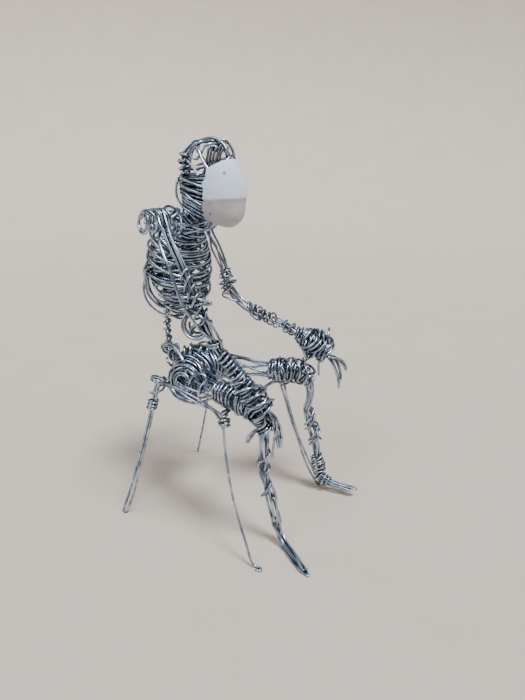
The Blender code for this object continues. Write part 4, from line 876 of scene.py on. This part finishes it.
class Nodes:
    """A short way to build a material's nodes."""

    def __init__(self, name):
        self.material = bpy.data.materials.new(name)
        self.material.use_nodes = True
        self.tree = self.material.node_tree
        self.shader = self.tree.nodes["Principled BSDF"]

    def add(self, kind, **settings):
        """A new node of that kind, with its own settings."""
        node = self.tree.nodes.new(kind)
        for key, value in settings.items():
            setattr(node, key, value)
        return node

    def link(self, output, socket):
        self.tree.links.new(output, socket)

    def noise(self, vector, scale, detail):
        """Noise of a scale in waves to the metre."""
        node = self.add("ShaderNodeTexNoise")
        node.inputs["Scale"].default_value = scale
        node.inputs["Detail"].default_value = detail
        node.inputs["Roughness"].default_value = 0.55
        self.link(vector, node.inputs["Vector"])
        return node.outputs["Fac"]

    def ramp(self, value, stops):
        """A colour that runs between two stops as the value does."""
        node = self.add("ShaderNodeValToRGB")
        for element, (place, colour) in zip(node.color_ramp.elements, stops):
            element.position = place
            element.color = (*colour, 1)
        self.link(value, node.inputs["Fac"])
        return node.outputs["Color"]

    def spread(self, value, low, high, to_low, to_high):
        """The value, mapped from low and high to two others."""
        node = self.add("ShaderNodeMapRange")
        for key, number in (("From Min", low), ("From Max", high), ("To Min", to_low), ("To Max", to_high)):
            node.inputs[key].default_value = number
        self.link(value, node.inputs["Value"])
        return node.outputs["Result"]

    def total(self, first, second):
        """The sum of two values."""
        node = self.add("ShaderNodeMath", operation="ADD")
        self.link(first, node.inputs[0])
        self.link(second, node.inputs[1])
        return node.outputs["Value"]

    def mixed(self, first, second, blend="MIX", factor=None):
        """Two colours blended, all the way where no factor is given."""
        node = self.add("ShaderNodeMix", data_type="RGBA", blend_type=blend)
        if factor is None:
            node.inputs["Factor"].default_value = 1.0
        else:
            self.link(factor, node.inputs["Factor"])
        self.link(first, node.inputs[6])
        self.link(second, node.inputs[7])
        return node.outputs[2]

    def bump(self, height, strength, distance, normal=None):
        """A normal that follows a height, over another normal."""
        node = self.add("ShaderNodeBump")
        node.inputs["Strength"].default_value = strength
        node.inputs["Distance"].default_value = distance
        self.link(height, node.inputs["Height"])
        if normal is not None:
            self.link(normal, node.inputs["Normal"])
        return node.outputs["Normal"]


def wire_metal(name, dark, light, gloss):
    """Bright drawn aluminium: fine marks along it, duller where it was held, and painted shade that darkens
    it between the turns.
    """
    nodes = Nodes(name)
    place = nodes.add("ShaderNodeTexCoord").outputs["Object"]
    along = nodes.add("ShaderNodeUVMap", uv_map="wire").outputs["UV"]
    stretch = nodes.add("ShaderNodeMapping")
    stretch.inputs["Scale"].default_value = (6000, 260, 1)
    nodes.link(along, stretch.inputs["Vector"])
    marks = nodes.noise(stretch.outputs["Vector"], 1.0, 3.0)
    patches = nodes.noise(place, 160.0, 5.0)
    worn = nodes.total(nodes.spread(marks, 0.3, 0.7, -0.12, 0.12), patches)
    metal = nodes.ramp(worn, ((0.34, dark), (0.62, light)))
    # Painted shade: the wire's colour is darkened where other wires lie close round it, standing in for the
    # shade between the turns
    crevice = nodes.add("ShaderNodeAmbientOcclusion", samples=4)
    crevice.inputs["Distance"].default_value = 0.004
    painted_crevice_shade = nodes.ramp(crevice.outputs["AO"], ((0.22, (0.07, 0.09, 0.12)), (0.85, (1.0, 1.0, 1.0))))
    nodes.link(nodes.mixed(metal, painted_crevice_shade, "MULTIPLY"), nodes.shader.inputs["Base Color"])
    nodes.link(nodes.spread(worn, 0.3, 0.7, gloss + 0.14, gloss), nodes.shader.inputs["Roughness"])
    nicks = nodes.noise(place, 900.0, 3.0)
    normal = nodes.bump(marks, 0.25, 0.00004)
    nodes.link(nodes.bump(nicks, 0.35, 0.00008, normal), nodes.shader.inputs["Normal"])
    nodes.shader.inputs["Metallic"].default_value = 1.0
    nodes.shader.inputs["Specular Tint"].default_value = (0.45, 0.50, 0.56, 1)
    return nodes.material


def white_sheet():
    """Thin white sheet, cool in tone, faintly mottled and creased, its bottom panel painted greyer as shade,
    with grey tie marks pressed into it.
    """
    nodes = Nodes("white_sheet")
    place = nodes.add("ShaderNodeTexCoord").outputs["Object"]
    cloudy = nodes.noise(place, 130.0, 4.0)
    grain = nodes.noise(place, 2600.0, 3.0)
    upper = nodes.ramp(cloudy, ((0.3, (0.64, 0.74, 0.97)), (0.7, (0.76, 0.84, 1.0))))
    # Painted shade: the panel under the crease faces down, away from the lights, so it gets a darker, greyer
    # copy of the sheet's colour
    painted_shade_lower = nodes.ramp(cloudy, ((0.3, (0.48, 0.45, 0.49)), (0.7, (0.56, 0.525, 0.565))))
    # How far a point lies over the crease, which runs a little unevenly
    height = nodes.add("ShaderNodeSeparateXYZ")
    nodes.link(place, height.inputs["Vector"])
    uneven = nodes.spread(cloudy, 0.3, 0.7, -CREASE_WAVER, CREASE_WAVER)
    over = nodes.spread(nodes.total(height.outputs["Z"], uneven), CREASE_HEIGHT - CREASE_BLEND,
        CREASE_HEIGHT + CREASE_BLEND, 0.0, 1.0)
    colour = nodes.mixed(painted_shade_lower, upper, factor=over)
    for middle, size in TIE_MARKS:
        away = nodes.add("ShaderNodeVectorMath", operation="DISTANCE")
        nodes.link(place, away.inputs[0])
        away.inputs[1].default_value = placed(middle)
        ragged = nodes.total(away.outputs["Value"],
            nodes.spread(grain, 0.3, 0.7, -0.25 * size, 0.25 * size))
        colour = nodes.mixed(colour, nodes.spread(ragged, 0.3 * size, size, 0.35, 1.0), "MULTIPLY")
    nodes.link(colour, nodes.shader.inputs["Base Color"])
    nodes.link(nodes.spread(grain, 0.3, 0.7, 0.55, 0.75), nodes.shader.inputs["Roughness"])
    normal = nodes.bump(cloudy, 0.3, 0.0012)
    nodes.link(nodes.bump(grain, 0.25, 0.00006, normal), nodes.shader.inputs["Normal"])
    nodes.shader.inputs["Subsurface Weight"].default_value = 0.1
    nodes.shader.inputs["Subsurface Radius"].default_value = (0.001, 0.001, 0.001)
    return nodes.material


def floor():
    """A plain pale floor that curves up into a wall far all round the figure."""
    nodes = Nodes("pale_floor")
    place = nodes.add("ShaderNodeTexCoord").outputs["Object"]
    nodes.link(nodes.ramp(nodes.noise(place, 14.0, 5.0), ((0.3, (0.57, 0.485, 0.41)), (0.7,
        (0.60, 0.515, 0.44)))), nodes.shader.inputs["Base Color"])
    nodes.shader.inputs["Roughness"].default_value = 0.85
    # The flat part's radius, the bend's radius and the wall's height, in metres
    flat, bend, wall = 1.2, 1.2, 2.2
    angle = np.linspace(0, math.pi / 2, 24)
    curve = [(flat + bend * math.sin(a), bend * (1 - math.cos(a))) for a in angle[1:]]
    profile = [(0.4, 0.0), (flat, 0.0)] + curve
    profile.append((flat + bend, wall))
    around = np.linspace(0, FULL_TURN, 96, endpoint=False)
    vertices = [(r * math.cos(a), r * math.sin(a), z) for r, z in profile for a in around]
    count = len(around)
    faces = [tuple(range(count))]
    faces += [(row * count + k, (row + 1) * count + k, (row + 1) * count + (k + 1) % count,
        row * count + (k + 1) % count) for row in range(len(profile) - 1) for k in range(count)]
    mesh = bpy.data.meshes.new("floor")
    mesh.from_pydata(vertices, [], faces)
    mesh.shade_smooth()
    mesh.materials.append(nodes.material)
    linked("floor", mesh)


def sky_light(name, towards, strength, spread, colour):
    """A soft light from far away, in the direction towards, spread over some degrees."""
    data = bpy.data.lights.new(name, "SUN")
    data.energy = strength
    data.angle = math.radians(spread)
    data.color = colour
    linked(name, data).rotation_euler = Vector(towards).to_track_quat("Z", "Y").to_euler()


def studio():
    """Three soft lights and an even pale blue sky."""
    sky_light("key_light", (-0.15, -0.45, 1.0), 4.0, 16, (0.93, 0.97, 1.0))
    sky_light("side_light", (-0.68, 0.20, 1.0), 1.2, 25, (0.78, 0.89, 1.0))
    sky_light("front_light", (-0.85, -0.75, 0.55), 0.7, 60, (0.95, 0.97, 1.0))
    world = bpy.data.worlds.new("studio")
    world.use_nodes = True
    sky = world.node_tree.nodes["Background"]
    sky.inputs["Color"].default_value = (0.68, 0.83, 1.0, 1)
    sky.inputs["Strength"].default_value = 0.31
    bpy.context.scene.world = world


def camera():
    """The photograph's view."""
    data = bpy.data.cameras.new("camera")
    data.sensor_fit = "VERTICAL"
    data.sensor_height = FRAME_HEIGHT
    data.lens = LENS
    view = linked("camera", data)
    view.location = CAMERA_PLACE
    view.rotation_euler = (math.radians(CAMERA_PITCH), 0, math.radians(CAMERA_TURN))
    bpy.context.scene.camera = view


def main():
    wires = Wires()
    for part in (head, trunk, hips, right_arm, left_arm, right_leg, left_leg, stool):
        part(wires)
    metals = {WIRE: wire_metal("bright_wire", (0.13, 0.175, 0.245), (0.55, 0.65, 0.79), 0.19),
        BINDING_WIRE: wire_metal("binding_wire", (0.13, 0.165, 0.22), (0.52, 0.60, 0.71), 0.21)}
    # The sheet stays put and keeps the wires off it
    outline = mask_surface(MASK_THICKNESS / 2)
    barrier = [["sheet_barrier", outline[:, c], MASK_THICKNESS, np.zeros(len(outline)),
        None] for c in range(0, MASK_COLUMNS, 2)]
    paths = settle(wires.rows + barrier, WIRE_GAP, SETTLE_ROUNDS)
    for (name, _, thickness, _, node), path in zip(wires.rows, paths):
        piece = tube(name, path, thickness, metals[thickness])
        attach(piece, "root")
        if node:
            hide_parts(node)
    sheet = face_mask(white_sheet())
    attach(sheet, "root")
    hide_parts("face_mask")
    floor()
    studio()
    camera()


main()
